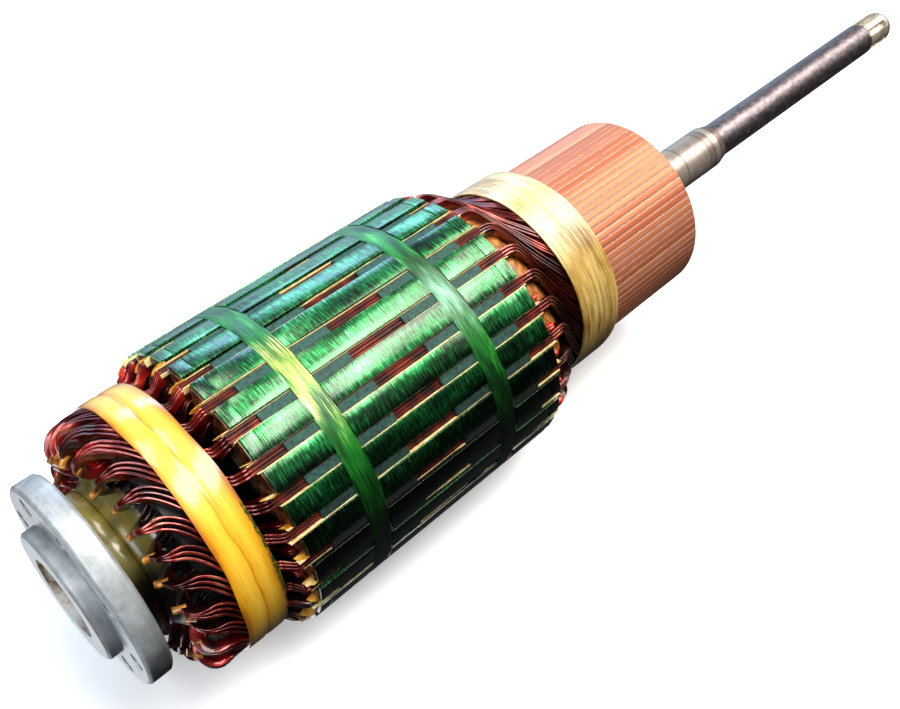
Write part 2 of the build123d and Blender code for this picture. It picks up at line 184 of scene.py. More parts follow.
class Pen:
    """Draws the nodes of one material or world, under short names."""

    def __init__(self, tree: Tree, surface: bpy.types.Node) -> None:
        """Hold a tree and the shader node that it ends in.

        Args:
            tree: Node tree of a material or the world.
            surface: The tree's shader.
        """
        self.tree = tree
        self.surface = surface

    def paint(self, inputs: dict) -> None:
        """Set or link the shader's own sockets, as feed does."""
        feed(self.tree, self.surface, inputs)

    def add(self, kind: str, inputs: dict | None = None, out: int | str = 0, **settings) -> Socket:
        """Add a shader node as output does, by the part of its kind after ShaderNode."""
        return output(self.tree, f"ShaderNode{kind}", inputs, out, **settings)

    def math(self, operation: str, *values: Socket | float) -> Socket:
        """Arithmetic on one to three values."""
        return self.add("Math", dict(enumerate(values)), operation=operation)

    def vector(self, operation: str, *values: Socket | tuple, out: int | str = 0) -> Socket:
        """Arithmetic on one or two vectors."""
        return self.add("VectorMath", dict(enumerate(values)), out, operation=operation)

    def span(self, value: Socket, low: float, high: float, to_low: float = 0.0, to_high: float = 1.0) -> Socket:
        """Stretch low to high over to_low to to_high, held at both ends."""
        return self.add("MapRange", dict(enumerate((value, low, high, to_low, to_high))))

    def mix(self, share: Socket | float, first: Socket, second: Socket | float) -> Socket:
        """Mix of two values."""
        return self.add("Mix", {0: share, 2: first, 3: second}, data_type="FLOAT")

    def blend(self, share: Socket | float, first: Socket, second: Socket | tuple, way: str = "MIX") -> Socket:
        """Mix of two colours, by one of Blender's blend types."""
        return self.add("Mix", {0: share, 6: first, 7: second}, 2, data_type="RGBA", blend_type=way)

    def ramp(self, share: Socket, stops: tuple) -> Socket:
        """Colour from a ramp of (place, hex colour) stops."""
        return self.add("ValToRGB", {0: share}, stops=stops)

    def axis(self, index: int) -> Socket:
        """Object coordinate along X, Y or Z."""
        return self.add("SeparateXYZ", {0: self.add("TexCoord", out="Object")}, index)

    def turn(self) -> Socket:
        """Turn about the shaft from +Z towards +Y."""
        return self.math("ARCTAN2", self.axis(1), self.axis(2))

    def noise(self, vector: Socket, scale: float, detail: float, roughness: float) -> Socket:
        """Soft noise from nought to one."""
        return self.add(
            "TexNoise", {"Vector": vector, "Scale": scale, "Detail": detail, "Roughness": roughness}
        )

    def blotches(self, size_mm: float, detail: float, roughness: float = 0.5) -> Socket:
        """Noise in blotches of one size every way."""
        return self.noise(self.add("TexCoord", out="Object"), 1 / (size_mm * MM), detail, roughness)

    def drum(self, along_mm: float, arc_mm: float, radius_mm: float) -> Socket:
        """Coordinates unrolled from a drum round the shaft, in pattern cells.

        Args:
            along_mm: Length of one cell along the shaft.
            arc_mm: Length of one cell round the drum.
            radius_mm: Drum radius at which the arc is measured.

        Returns:
            Socket with the cell coordinates along the shaft and round it.
        """
        flat = self.add("CombineXYZ", {0: self.axis(0), 1: self.turn()})
        return self.vector("MULTIPLY", flat, (1 / (along_mm * MM), radius_mm / arc_mm, 1.0))

    def streaks(
        self, along_mm: float, arc_mm: float, radius_mm: float, detail: float, roughness: float = 0.5
    ) -> Socket:
        """Noise in cells of a drum, drawn out along the shaft or round it. The lengths are as for drum."""
        return self.noise(self.drum(along_mm, arc_mm, radius_mm), 1.0, detail, roughness)

    def own_tone(self, count: int) -> Socket:
        """A value of its own for each of a number of equal parts round the shaft.

        Args:
            count: Number of parts.

        Returns:
            Socket with a value from nought to one.
        """
        longer_than_shaft_mm = 2000.0
        cells = self.drum(longer_than_shaft_mm, FULL_TURN / count, 1.0)
        return self.add("TexWhiteNoise", {"Vector": self.vector("FLOOR", cells)})

    def tinted(self, colour: Socket, marks: tuple = (), shadows: tuple = ()) -> Socket:
        """Multiply a colour by tints.

        Args:
            colour: Socket with the colour.
            marks: Places in millimetres along the shaft and the hex tint at each, in order.
            shadows: Turns in degrees from +Z towards +Y and the hex tint at each, in order.

        Returns:
            Socket with the tinted colour.
        """
        if marks:
            low, high = marks[0][0], marks[-1][0]
            share = self.span(self.axis(0), low * MM, high * MM)
            stops = [((at - low) / (high - low), tint) for at, tint in marks]
            colour = self.blend(1.0, colour, self.ramp(share, stops), "MULTIPLY")
        if shadows:
            share = self.span(self.turn(), -math.pi, math.pi)
            stops = [((at + 180.0) / 360.0, tint) for at, tint in shadows]
            colour = self.blend(1.0, colour, self.ramp(share, stops), "MULTIPLY")
        return colour

    def bump(self, height: Socket, strength: float, depth_mm: float, coated: bool = False) -> None:
        """Bump on the surface, and on its clear coat too where it is coated."""
        normal = self.add("Bump", {"Strength": strength, "Distance": depth_mm * MM, "Height": height})
        self.paint({"Normal": normal, "Coat Normal": normal} if coated else {"Normal": normal})


class Metal(Enum):
    """How far a surface behaves as bare metal."""

    NONE = 0.0
    DULL = 0.3
    HALF = 0.5
    TINTED = 0.65
    BARE = 1.0


@dataclass(frozen=True)
class Finish:
    """Base of the finishes: a named material that is made once."""

    name: str

    def material(self) -> bpy.types.Material:
        """Make the material, or give the one already made.

        Returns:
            The material.
        """
        found = bpy.data.materials.get(self.name)
        if found:
            return found
        made = bpy.data.materials.new(self.name)
        made.use_nodes = True
        self.shade(Pen(made.node_tree, made.node_tree.nodes["Principled BSDF"]))
        return made

    def shade(self, pen: Pen) -> None:
        """Set the shader up. Each finish has its own.

        Args:
            pen: Pen on the material's tree.
        """
        raise NotImplementedError


@dataclass(frozen=True)
class VarnishedLaminations(Finish):
    """Green baking varnish over the edges of stacked steel sheets.

    The varnish is a clear gloss on dark green: mint where it mirrors a lamp and bluish where it mirrors
    the sky. Underneath, a tint by turn darkens it nearly to black: painted shade. The sheets' edges
    break it into streaks across the shaft, and dark lines mark the joints between thicker sheets near
    the ends.
    """

    radius_mm: float = 125.0
    sheet_mm: float = 1.1
    streak_mm: float = 12.0
    patch_mm: float = 70.0
    patch_share: float = 0.46
    tooth_share: float = 0.1
    ends_mm: tuple[float, float] = (125.0, 387.0)
    lines_mm: tuple = (127.4, 129.2, 131.2, 380.6, 383.4)
    line: tuple = ((-0.6, WHITE), (-0.3, "#101410"), (0.3, "#101410"), (0.6, WHITE))
    stops: tuple = ((0.38, "#020f06"), (0.45, "#053817"), (0.51, "#086e2c"), (0.57, "#1fa452"), (0.65, "#8ed8ae"))

    def shade(self, pen: Pen) -> None:
        """Streaks of sheet edges over broad patches of varnish and a tone for each tooth.

        Args:
            pen: Pen on the material's tree.
        """
        streak = pen.streaks(self.sheet_mm, self.streak_mm, self.radius_mm, detail=4.0, roughness=0.6)
        patch = pen.streaks(self.patch_mm, self.patch_mm / 3, self.radius_mm, detail=4.0, roughness=0.6)
        tone = pen.mix(self.patch_share, streak, pen.mix(self.tooth_share, patch, pen.own_tone(SLOT_COUNT)))
        marks = [(end, WHITE) for end in self.ends_mm]
        marks += [(middle + off, tint) for middle in self.lines_mm for off, tint in self.line]
        pen.bump(streak, strength=0.55, depth_mm=0.35, coated=True)
        pen.paint({
            # The underside tint darkens the lower teeth nearly to black: painted shade.
            "Base Color": pen.tinted(pen.ramp(tone, self.stops), sorted(marks), underside("#70786f")),
            "Roughness": pen.span(tone, 0.35, 0.65, 0.3, 0.45), "Metallic": Metal.BARE.value,
            "Coat Weight": 1.0, "Coat Roughness": 0.24, "Coat IOR": 1.62,
        })


@dataclass(frozen=True)
class Blotched(Finish):
    """A plain coat, paper or metal whose tone drifts in blotches.

    marks and shadows are tints along the shaft and round it, as for Pen.tinted.
    """

    stops: tuple
    blotch_mm: float
    roughness: tuple[float, float]
    metal: Metal = Metal.NONE
    coat: float = 0.0
    marks: tuple = ()
    shadows: tuple = ()

    def shade(self, pen: Pen) -> None:
        """Blotches of tone and gloss.

        Args:
            pen: Pen on the material's tree.
        """
        blotch = pen.blotches(self.blotch_mm, detail=5.0, roughness=0.6)
        pen.paint({
            "Base Color": pen.tinted(pen.ramp(blotch, self.stops), self.marks, self.shadows),
            "Roughness": pen.span(blotch, 0.3, 0.7, *self.roughness), "Metallic": self.metal.value,
            "Coat Weight": self.coat, "Coat Roughness": 0.16,
        })


@dataclass(frozen=True)
class TurnedMetal(Finish):
    """Metal turned on a lathe: fine rings round the shaft over blotches of age.

    marks and shadows are tints along the shaft and round it, as for Pen.tinted.
    """

    stops: tuple
    blotch_mm: float
    ring_mm: float
    roughness: tuple[float, float]
    ring_depth_mm: float = 0.02
    metal: Metal = Metal.TINTED
    marks: tuple = ()
    shadows: tuple = ()
    ring_arc_mm: float = 400.0
    ring_share: float = 0.3
    radius_mm: float = 60.0

    def shade(self, pen: Pen) -> None:
        """Turning rings in the bump, and blotches in tone and gloss.

        Args:
            pen: Pen on the material's tree.
        """
        ring = pen.streaks(self.ring_mm, self.ring_arc_mm, self.radius_mm, detail=2.0)
        blotch = pen.blotches(self.blotch_mm, detail=6.0, roughness=0.65)
        colour = pen.ramp(pen.mix(self.ring_share, blotch, ring), self.stops)
        pen.bump(ring, strength=0.5, depth_mm=self.ring_depth_mm)
        pen.paint({
            "Base Color": pen.tinted(colour, self.marks, self.shadows),
            "Roughness": pen.span(blotch, 0.3, 0.7, *self.roughness), "Metallic": self.metal.value,
        })


@dataclass(frozen=True)
class EnamelledCopper(Finish):
    """Copper strap under dark red insulating enamel: a clear gloss over a deep metallic red."""

    stops: tuple
    patch_mm: float = 22.0
    gloss: float = 1.0
    roughness: float = 0.3
    marks: tuple = ()

    def shade(self, pen: Pen) -> None:
        """Red that deepens where the enamel is thick.

        Args:
            pen: Pen on the material's tree.
        """
        patch = pen.blotches(self.patch_mm, detail=3.0)
        pen.paint({
            "Base Color": pen.tinted(pen.ramp(patch, self.stops), self.marks),
            "Roughness": self.roughness, "Metallic": Metal.TINTED.value,
            "Coat Weight": self.gloss, "Coat Roughness": 0.05,
        })


@dataclass(frozen=True)
class CommutatorCopper(Finish):
    """Hard-drawn copper bars, skimmed on a lathe: salmon pink, each bar a little different."""

    radius_mm: float = 90.0
    scratch_mm: tuple[float, float] = (90.0, 1.1)
    scratch_share: float = 0.45
    ring_mm: tuple[float, float] = (0.8, 300.0)
    stops: tuple = ((0.15, "#b65c3a"), (0.45, "#d07c55"), (0.72, "#e29976"), (0.8, "#f2b674"))

    def shade(self, pen: Pen) -> None:
        """A tone for each bar, with long scratches and faint turning rings.

        Args:
            pen: Pen on the material's tree.
        """
        scratch = pen.streaks(*self.scratch_mm, self.radius_mm, detail=3.0)
        colour = pen.ramp(pen.mix(self.scratch_share, pen.own_tone(BAR_COUNT), scratch), self.stops)
        pen.bump(pen.streaks(*self.ring_mm, self.radius_mm, detail=1.0), strength=0.3, depth_mm=0.03)
        pen.paint({"Base Color": colour, "Roughness": 0.42, "Metallic": Metal.HALF.value})


@dataclass(frozen=True)
class BandGlass(Finish):
    """Glass strand in resin, wound round a drum: clear gloss on streaks that run round the band.

    Over one stretch round the band, where a lamp's highlight falls, lighter tones are painted in: a painted
    highlight. shadows are tints round the shaft, as for Pen.tinted, which paint shade underneath.
    """

    deep: tuple
    highlight_tones: tuple
    highlight_turn_deg: float
    highlight_reach_deg: float
    radius_mm: float = 125.0
    strand_mm: float = 0.9
    run_mm: float = 45.0
    coat: float = 0.2
    metal: Metal = Metal.NONE
    shadows: tuple = ()
    patch_mm: tuple[float, float] = (12.0, 40.0)
    patch_share: float = 0.4
    highlight_core: float = 0.4

    def shade(self, pen: Pen) -> None:
        """Strands round the band, in one set of tones, and in a lighter set over the stretch of painted highlight.

        Args:
            pen: Pen on the material's tree.
        """
        strand = pen.streaks(self.strand_mm, self.run_mm, self.radius_mm, detail=4.0, roughness=0.65)
        tone = pen.mix(self.patch_share, strand, pen.streaks(*self.patch_mm, self.radius_mm, detail=3.0))
        # The lighter stretch round the band, where the lamp's highlight falls: painted highlight.
        away = pen.math("ABSOLUTE", pen.math("SUBTRACT", pen.turn(), math.radians(self.highlight_turn_deg)))
        ragged = pen.math("ADD", away, pen.math("MULTIPLY_ADD", tone, -2.0, 1.0))
        reach = math.radians(self.highlight_reach_deg)
        highlight_share = pen.span(ragged, reach, self.highlight_core * reach)
        colour = pen.blend(highlight_share, pen.ramp(tone, self.deep), pen.ramp(tone, self.highlight_tones))
        pen.bump(strand, strength=0.7, depth_mm=0.6, coated=True)
        pen.paint({
            "Base Color": pen.tinted(colour, shadows=self.shadows),
            "Roughness": 0.45, "Metallic": self.metal.value, "Coat Weight": self.coat, "Coat Roughness": 0.28,
        })


@dataclass(frozen=True)
class AmberTape(Finish):
    """Glass tape soaked in amber resin: clear gloss over yellow, deep orange along its edges and crease.

    A little of the core's green varnish is left on the edge that faces the core.
    """

    low_mm: float = 70.0
    high_mm: float = 105.0
    radius_mm: float = 112.0
    drift_mm: tuple[float, float] = (18.0, 40.0)
    strand_mm: tuple[float, float] = (1.6, 30.0)
    spot_mm: tuple[float, float] = (3.0, 5.0)
    profile: tuple = (
        (0.0, "#b8700c"), (0.08, "#e3a21a"), (0.28, "#f6c840"), (0.44, "#f0b62a"), (0.485, "#c98716"),
        (0.53, "#ecae26"), (0.72, "#f5c53a"), (0.92, "#dc9a18"), (1.0, "#a9650e"),
    )
    strand_tints: tuple = ((0.28, "#d8a860"), (0.42, WHITE), (0.7, "#fff6d6"))
    strand_share: float = 0.6
    varnish: str = "#1d4a18"
    varnish_turns: tuple[float, float] = (-0.45, -0.85)
    varnish_edge: tuple[float, float] = (0.82, 0.97)

    def shade(self, pen: Pen) -> None:
        """Tone from the distance to the edges and to the crease, broken up by drifts of resin.

        Args:
            pen: Pen on the material's tree.
        """
        cloud = pen.streaks(*self.drift_mm, self.radius_mm, detail=4.0)
        strand = pen.streaks(*self.strand_mm, self.radius_mm, detail=2.0)
        share = pen.span(pen.axis(0), self.low_mm * MM, self.high_mm * MM)
        shifted = pen.math("ADD", share, pen.math("MULTIPLY_ADD", cloud, 0.3, -0.15))
        base, tint = pen.ramp(shifted, self.profile), pen.ramp(strand, self.strand_tints)
        amber = pen.blend(self.strand_share, base, tint, "MULTIPLY")
        where = pen.math("MULTIPLY", pen.span(pen.turn(), *self.varnish_turns), pen.span(share, *self.varnish_edge))
        spots = pen.math("MULTIPLY", where, pen.streaks(*self.spot_mm, self.radius_mm, detail=4.0))
        pen.bump(cloud, strength=0.3, depth_mm=0.9, coated=True)
        pen.paint({
            "Base Color": pen.blend(pen.span(spots, 0.36, 0.52), amber, linear(self.varnish)),
            "Roughness": 0.4, "Coat Weight": 0.9, "Coat Roughness": 0.15,
        })


@dataclass(frozen=True)
class FloorPaint(Finish):
    """Pale matt paint on the studio's floor, a little brighter than its light makes it."""

    colour: str = "#f4f5f6"

    def shade(self, pen: Pen) -> None:
        """One even colour.

        Args:
            pen: Pen on the material's tree.
        """
        pen.paint({
            "Base Color": linear(self.colour), "Roughness": 0.9,
            "Emission Color": linear(WHITE), "Emission Strength": 0.35,
        })


@dataclass(frozen=True)
class Palette:
    """The finishes of the armature and the floor."""

    core: Finish = VarnishedLaminations("green varnish on laminations")
    enamel: Finish = EnamelledCopper(
        "red enamelled copper strap",
        ((0.3, "#2a0606"), (0.48, "#6a1814"), (0.6, "#a23c30"), (0.72, "#de8068")), gloss=0.8, roughness=0.22,
    )
    # Its marks darken the leads past their bend towards black: painted shade.
    lead_enamel: Finish = EnamelledCopper(
        "dark red enamelled copper", tones("#3a0a09", "#842a22", "#c0604c"), gloss=0.8,
        marks=((386.0, WHITE), (400.0, WHITE), (420.0, "#8c625c"), (470.0, "#5a3a36")),
    )
    # Crimson for the sides and deep parts of the loops that face the light, and for glints low down: painted light.
    crimson: Finish = EnamelledCopper(
        "crimson enamel as painted light",
        ((0.3, "#2c0305"), (0.46, "#700b0d"), (0.6, "#c42018"), (0.72, "#fc5038")), gloss=0.6,
    )
    slot_copper: Finish = EnamelledCopper(
        "dull enamelled copper", ((0.32, "#1e0403"), (0.5, "#4a1006"), (0.68, "#742210")), 12.0, 0.1, 0.6
    )
    # Black-red for the straps' sides and deep parts: painted shade.
    shade_enamel: Finish = EnamelledCopper(
        "black-red enamel as painted shade", ((0.32, "#080202"), (0.5, "#1c0504"), (0.68, "#3c0d09")), 14.0, 0.5
    )
    lacquer: Finish = Blotched(
        "bright red lacquer", tones("#8a0c06", "#cc2110", "#f0492c"), 5.0, (0.1, 0.3), coat=1.0
    )
    bars: Finish = CommutatorCopper("skimmed commutator copper")
    mica: Finish = Blotched("pale mica", tones("#5c5c62", "#807c80", "#aea49e"), 5.0, (0.5, 0.7))
    # Its shadows tint darkens the lower strips: painted shade.
    wedge: Finish = Blotched(
        "grey-green glass laminate", ((0.34, "#03100c"), (0.42, "#12362f"), (0.6, "#1d4f46"), (0.75, "#2f685d")),
        3.0, (0.65, 0.8), shadows=underside("#4a504e", 46.0),
    )
    amber: Finish = AmberTape("amber resin on glass tape")
    # Lighter stretch: painted highlight where the key lamp reflects, in the band's own yellow. shadows: painted
    # shade underneath.
    green_band: Finish = BandGlass(
        "yellow-green resin on glass strand",
        ((0.38, "#021a09"), (0.46, "#06561a"), (0.54, "#128a1c"), (0.66, "#62bc40")),
        ((0.38, "#0c6e18"), (0.46, "#3f9a24"), (0.53, "#a4b44c"), (0.62, "#eae6b4")), -22.0, 15.0,
        strand_mm=0.7, run_mm=30.0, coat=0.7, metal=Metal.HALF, shadows=underside("#3c443a", 56.0),
    )
    # Lighter mint stretch: painted highlight where the key lamp reflects. shadows: painted shade underneath.
    deep_band: Finish = BandGlass(
        "deep green resin on glass strand",
        ((0.38, "#021a08"), (0.47, "#064c18"), (0.55, "#0c8c22"), (0.66, "#60cc48")),
        ((0.38, "#04301a"), (0.46, "#145a34"), (0.54, "#408462"), (0.64, "#8cb8a0")), -24.0, 14.0,
        strand_mm=0.6, run_mm=20.0, coat=0.7, metal=Metal.HALF, shadows=underside("#3c443a", 50.0),
    )
    # Lighter stretch: painted highlight where a lamp reflects.
    cream: Finish = BandGlass(
        "cream glass tape",
        ((0.38, "#4a2e0a"), (0.43, "#8a6424"), (0.49, "#b89448"), (0.61, "#dcc680")),
        ((0.34, "#947638"), (0.42, "#bfa562"), (0.5, "#d8c68c"), (0.64, "#ece0ba")), -8.0, 36.0,
        97.5, 1.1, 90.0, 1.0,
    )
    # Past 42 mm the marks darken the support to black under the coil noses: painted shadow. The dark line at 34.6
    # mm is its seam. shadows darken its lower half: painted shade.
    olive: Finish = Blotched(
        "olive gloss paint", tones("#776c2d", "#908339", "#a99b52"), 40.0, (0.25, 0.35), coat=0.8,
        marks=((20.0, WHITE), (34.0, WHITE), (34.6, "#6a6250"), (35.2, WHITE), (42.0, "#f0ecd8"),
               (56.0, "#3a3420"), (64.0, "#0a0806")),
        shadows=((-150.0, "#0c0a06"), (-78.0, "#0c0a06"), (-58.0, "#3c3824"), (-36.0, WHITE), (70.0, WHITE),
                 (110.0, "#3c3824"), (150.0, "#0c0a06")),
    )
    # Near-black paper for packing and wraps that show only in the dark gaps between straps: painted shade.
    pitch: Finish = Blotched(
        "black paper as painted shade", ((0.35, "#040202"), (0.6, "#0d0706"), (0.75, "#241009")), 8.0, (0.45, 0.7)
    )
    flake: Finish = Blotched(
        "yellow varnished paper", tones("#9c5a12", "#d8962a", "#efc85c"), 5.0, (0.3, 0.55), coat=0.4
    )
    liner: Finish = Blotched("cream slot paper", tones("#b98f4a", "#dfca8c", "#efe2b4"), 6.0, (0.5, 0.7))
    paper: Finish = Blotched(
        "varnished brown paper", tones("#4a2409", "#965618", "#c98b3c"), 7.0, (0.4, 0.65), coat=0.2
    )
    dark_paper: Finish = Blotched(
        "black-brown varnished paper", ((0.35, "#1a0d06"), (0.5, "#452510"), (0.68, "#8a5424")),
        7.0, (0.2, 0.5), coat=0.5,
    )
    tip: Finish = Blotched("tan resin", tones("#4c280c", "#a3641c", "#e0a648"), 4.0, (0.2, 0.5), coat=0.6)
    flange: Finish = TurnedMetal(
        "machined flange steel", ((0.3, "#6e7274"), (0.45, "#979c9f"), (0.6, "#b6bcc0"), (0.72, "#dadee2")),
        26.0, 0.9, (0.36, 0.5), metal=Metal.DULL,
    )
    # The rim darkens towards the bottom: painted shade, partly the rim's brown stain.
    flange_rim: Finish = replace(flange, name="stained and shaded flange rim", shadows=underside("#746a66", 62.0, 116.0))
    rust: Finish = Blotched(
        "rusty bare steel", ((0.32, "#4a3826"), (0.44, "#94805f"), (0.54, "#cfc9bf"), (0.7, "#ececea")),
        18.0, (0.4, 0.65), Metal.DULL,
    )
    journal: Finish = TurnedMetal(
        "aged journal steel", tones("#7e787d", "#a69da2", "#d2c7ca"), 5.0, 1.2, (0.3, 0.42), metal=Metal.BARE
    )
    collar: Finish = TurnedMetal(
        "satin collar steel", tones("#9c9591", "#b8b0ac", "#d4ccc8"), 20.0, 1.8, (0.28, 0.38), 0.04,
        marks=((640.0, "#fff8ee"), (704.0, "#fff8ee"), (705.5, "#9c938c"), (707.0, "#f4eee8"),
               (742.0, "#e8e0da"), (743.5, "#a89e96"), (745.0, "#ded6cf"), (751.0, "#d2c8c0"),
               (752.5, "#a0968e"), (754.0, "#fffaf4"), (760.0, "#fffaf4"), (762.0, "#8c8279"),
               (764.5, "#d6ccc4"), (774.0, "#9c9289")),
    )
    nickel: Finish = TurnedMetal(
        "bright spline steel", tones("#8c8474", "#b9b09f", "#e0d8c8"), 14.0, 1.0, (0.28, 0.4)
    )
    floor: Finish = FloorPaint("pale floor paint")


PALETTE = Palette()


def new_object(name: str, mesh: Mesh) -> Piece:
    """Put a mesh into the scene as an object at the origin.

    Args:
        name: Name of the object.
        mesh: Its mesh.

    Returns:
        The object.
    """
    made = bpy.data.objects.new(name, mesh)
    bpy.context.scene.collection.objects.link(made)
    return made


def baked_mesh(piece: Piece) -> None:
    """Replace an object's mesh and modifiers with the evaluated result.

    Args:
        piece: Object whose modifiers are applied.
    """
    graph = bpy.context.evaluated_depsgraph_get()
    result = bpy.data.meshes.new_from_object(piece.evaluated_get(graph))
    piece.modifiers.clear()
    piece.data = result


def mesh_of(name: str, shape: bmesh.types.BMesh, finish: Finish | None = None) -> Mesh:
    """Turn an edited shape into a mesh, with a finish where one is given, and free the shape.

    Args:
        name: Name of the mesh.
        shape: The edited shape.
        finish: Finish of the mesh.

    Returns:
        The mesh.
    """
    mesh = bpy.data.meshes.new(name)
    shape.to_mesh(mesh)
    shape.free()
    if finish:
        mesh.materials.append(finish.material())
    return mesh


def faced_mesh(name: str, points: np.ndarray, faces: list, finish: Finish) -> Mesh:
    """Mesh of points and faces that all face out, with a finish.

    Args:
        name: Name of the mesh.
        points: Its points, (points, 3).
        faces: Indices of each face's points.
        finish: Finish of the mesh.

    Returns:
        The mesh.
    """
    mesh = bpy.data.meshes.new(name)
    mesh.from_pydata(points, [], faces)
    shape = bmesh.new()
    shape.from_mesh(mesh)
    bmesh.ops.recalc_face_normals(shape, faces=shape.faces)
    shape.to_mesh(mesh)
    shape.free()
    mesh.materials.append(finish.material())
    return mesh


def block(size: tuple[float, float, float], middle: tuple[float, float, float]) -> bmesh.types.BMesh:
    """Plain block of a size about a middle point.

    Args:
        size: Lengths along X, Y and Z.
        middle: The middle point.

    Returns:
        The block, to be edited further.
    """
    shape = bmesh.new()
    bmesh.ops.create_cube(shape, size=1.0)
    bmesh.ops.scale(shape, vec=size, verts=shape.verts)
    bmesh.ops.translate(shape, vec=middle, verts=shape.verts)
    return shape


def ring_mesh(name: str, rows: np.ndarray, finish: Finish, smooth_deg: float = 45.0) -> Mesh:
    """Mesh of a ring whose section closes on itself.

    Args:
        name: Name of the mesh.
        rows: Points, (places round the shaft, points of the section, 3).
        finish: Finish of the ring.
        smooth_deg: Angle under which faces shade as one surface.

    Returns:
        Mesh of four-sided faces.
    """
    here = np.arange(rows.shape[0] * rows.shape[1]).reshape(rows.shape[:2])
    down = np.roll(here, -1, axis=0)
    corners = [here, np.roll(here, -1, axis=1), np.roll(down, -1, axis=1), down]
    faces = np.stack(corners, axis=-1).reshape(-1, 4)
    mesh = faced_mesh(name, rows.reshape(-1, 3), faces.tolist(), finish)
    mesh.shade_smooth()
    mesh.set_sharp_from_angle(angle=math.radians(smooth_deg))
    return mesh


def finish_piece(piece: Piece, slot: str, *nodes: str) -> Piece:
    """Tie a finished piece to the CAD body.

    Args:
        piece: The finished object.
        slot: Material slot of the record. Not used.
        *nodes: CAD nodes that it stands for.

    Returns:
        The same object.
    """
    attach(piece, "root")
    if nodes:
        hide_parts(*nodes)
    LOG.info("%s: %d faces", piece.name, len(piece.data.polygons))
    return piece


def refined(node: str, finish: Finish, slot: str, edge_mm: float, smooth_deg: float = 32.0) -> Piece:
    """Copy a CAD node, soften its edges and smooth its round faces.

    Args:
        node: CAD node to copy and stand for.
        finish: Finish of the copy.
        slot: Material slot of the record.
        edge_mm: Width of the softened edges, or nought.
        smooth_deg: Angle under which faces shade as one surface.

    Returns:
        The finished copy.
    """
    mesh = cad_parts[node].data.copy()
    mesh.materials.clear()
    shape = bmesh.new()
    shape.from_mesh(mesh)
    bmesh.ops.remove_doubles(shape, verts=shape.verts, dist=SAME_PLACE)
    if edge_mm:
        flat = math.radians(SAME_PLANE_DEG)
        bmesh.ops.dissolve_limit(
            shape, angle_limit=flat, verts=shape.verts, edges=shape.edges, use_dissolve_boundaries=False
        )
    shape.to_mesh(mesh)
    shape.free()
    piece = new_object(f"{node}-dressed", mesh)
    if edge_mm:
        bevel = piece.modifiers.new("edges", "BEVEL")
        bevel.width = edge_mm * MM
        bevel.segments = 2
        bevel.limit_method = "ANGLE"
        bevel.angle_limit = math.radians(smooth_deg)
        baked_mesh(piece)
    piece.data.materials.clear()
    piece.data.materials.append(finish.material())
    piece.data.shade_smooth()
    piece.data.set_sharp_from_angle(angle=math.radians(smooth_deg))
    return finish_piece(piece, slot, node)


def node_group(name: str, inputs: dict[str, str], result: str) -> Tree:
    """Geometry Nodes tree with its sockets and nothing in it.

    Args:
        name: Name of the tree.
        inputs: Input names and the kinds of their sockets.
        result: Name of the geometry that comes out.

    Returns:
        The tree.
    """
    tree = bpy.data.node_groups.new(name, "GeometryNodeTree")
    for label, kind in inputs.items():
        tree.interface.new_socket(label, in_out="INPUT", socket_type=f"NodeSocket{kind}")
    tree.interface.new_socket(result, in_out="OUTPUT", socket_type="NodeSocketGeometry")
    return tree


def end_group(tree: Tree, geometry: Socket, finish: Socket) -> None:
    """Realise a tree's instances, set their material and send them out.

    Args:
        tree: Geometry Nodes tree.
        geometry: What the tree has made.
        finish: Its material.
    """
    realised = output(tree, "GeometryNodeRealizeInstances", {0: geometry})
    dressed = output(tree, "GeometryNodeSetMaterial", {"Geometry": realised, "Material": finish})
    add_node(tree, "NodeGroupOutput", {0: dressed})


def strap_sweep_tree() -> Tree:
    """Geometry Nodes tree that sweeps a rounded strap along each strand of a mesh of edges.

    Returns:
        The tree, with inputs for the strap's width, height and edge radius, and its material.
    """
    sizes = {label: "Float" for label in ("Strap Width", "Strap Height", "Edge Radius")}
    tree = node_group("strap sweep", {"Strands": "Geometry", **sizes, "Finish": "Material"}, "Straps")
    given = add_node(tree, "NodeGroupInput").outputs
    path = output(tree, "GeometryNodeMeshToCurve", {0: given["Strands"]})
    outward = output(tree, "GeometryNodeInputNamedAttribute", {"Name": "outward"}, data_type="FLOAT_VECTOR")
    girth = output(tree, "GeometryNodeInputNamedAttribute", {"Name": "girth"}, data_type="FLOAT")
    laid = output(tree, "GeometryNodeSetCurveNormal", {"Curve": path, "Normal": outward}, mode="FREE")
    sized = output(tree, "GeometryNodeSetCurveRadius", {"Curve": laid, "Radius": girth})
    sides = {"Width": given["Strap Height"], "Height": given["Strap Width"]}
    section = output(tree, "GeometryNodeCurvePrimitiveQuadrilateral", sides)
    corners = {"Curve": section, "Radius": given["Edge Radius"], "Count": 2, "Limit Radius": True}
    rounded = output(tree, "GeometryNodeFilletCurve", corners, mode="POLY")
    sweep = {"Curve": sized, "Profile Curve": rounded, "Fill Caps": True}
    end_group(tree, output(tree, "GeometryNodeCurveToMesh", sweep), given["Finish"])
    return tree


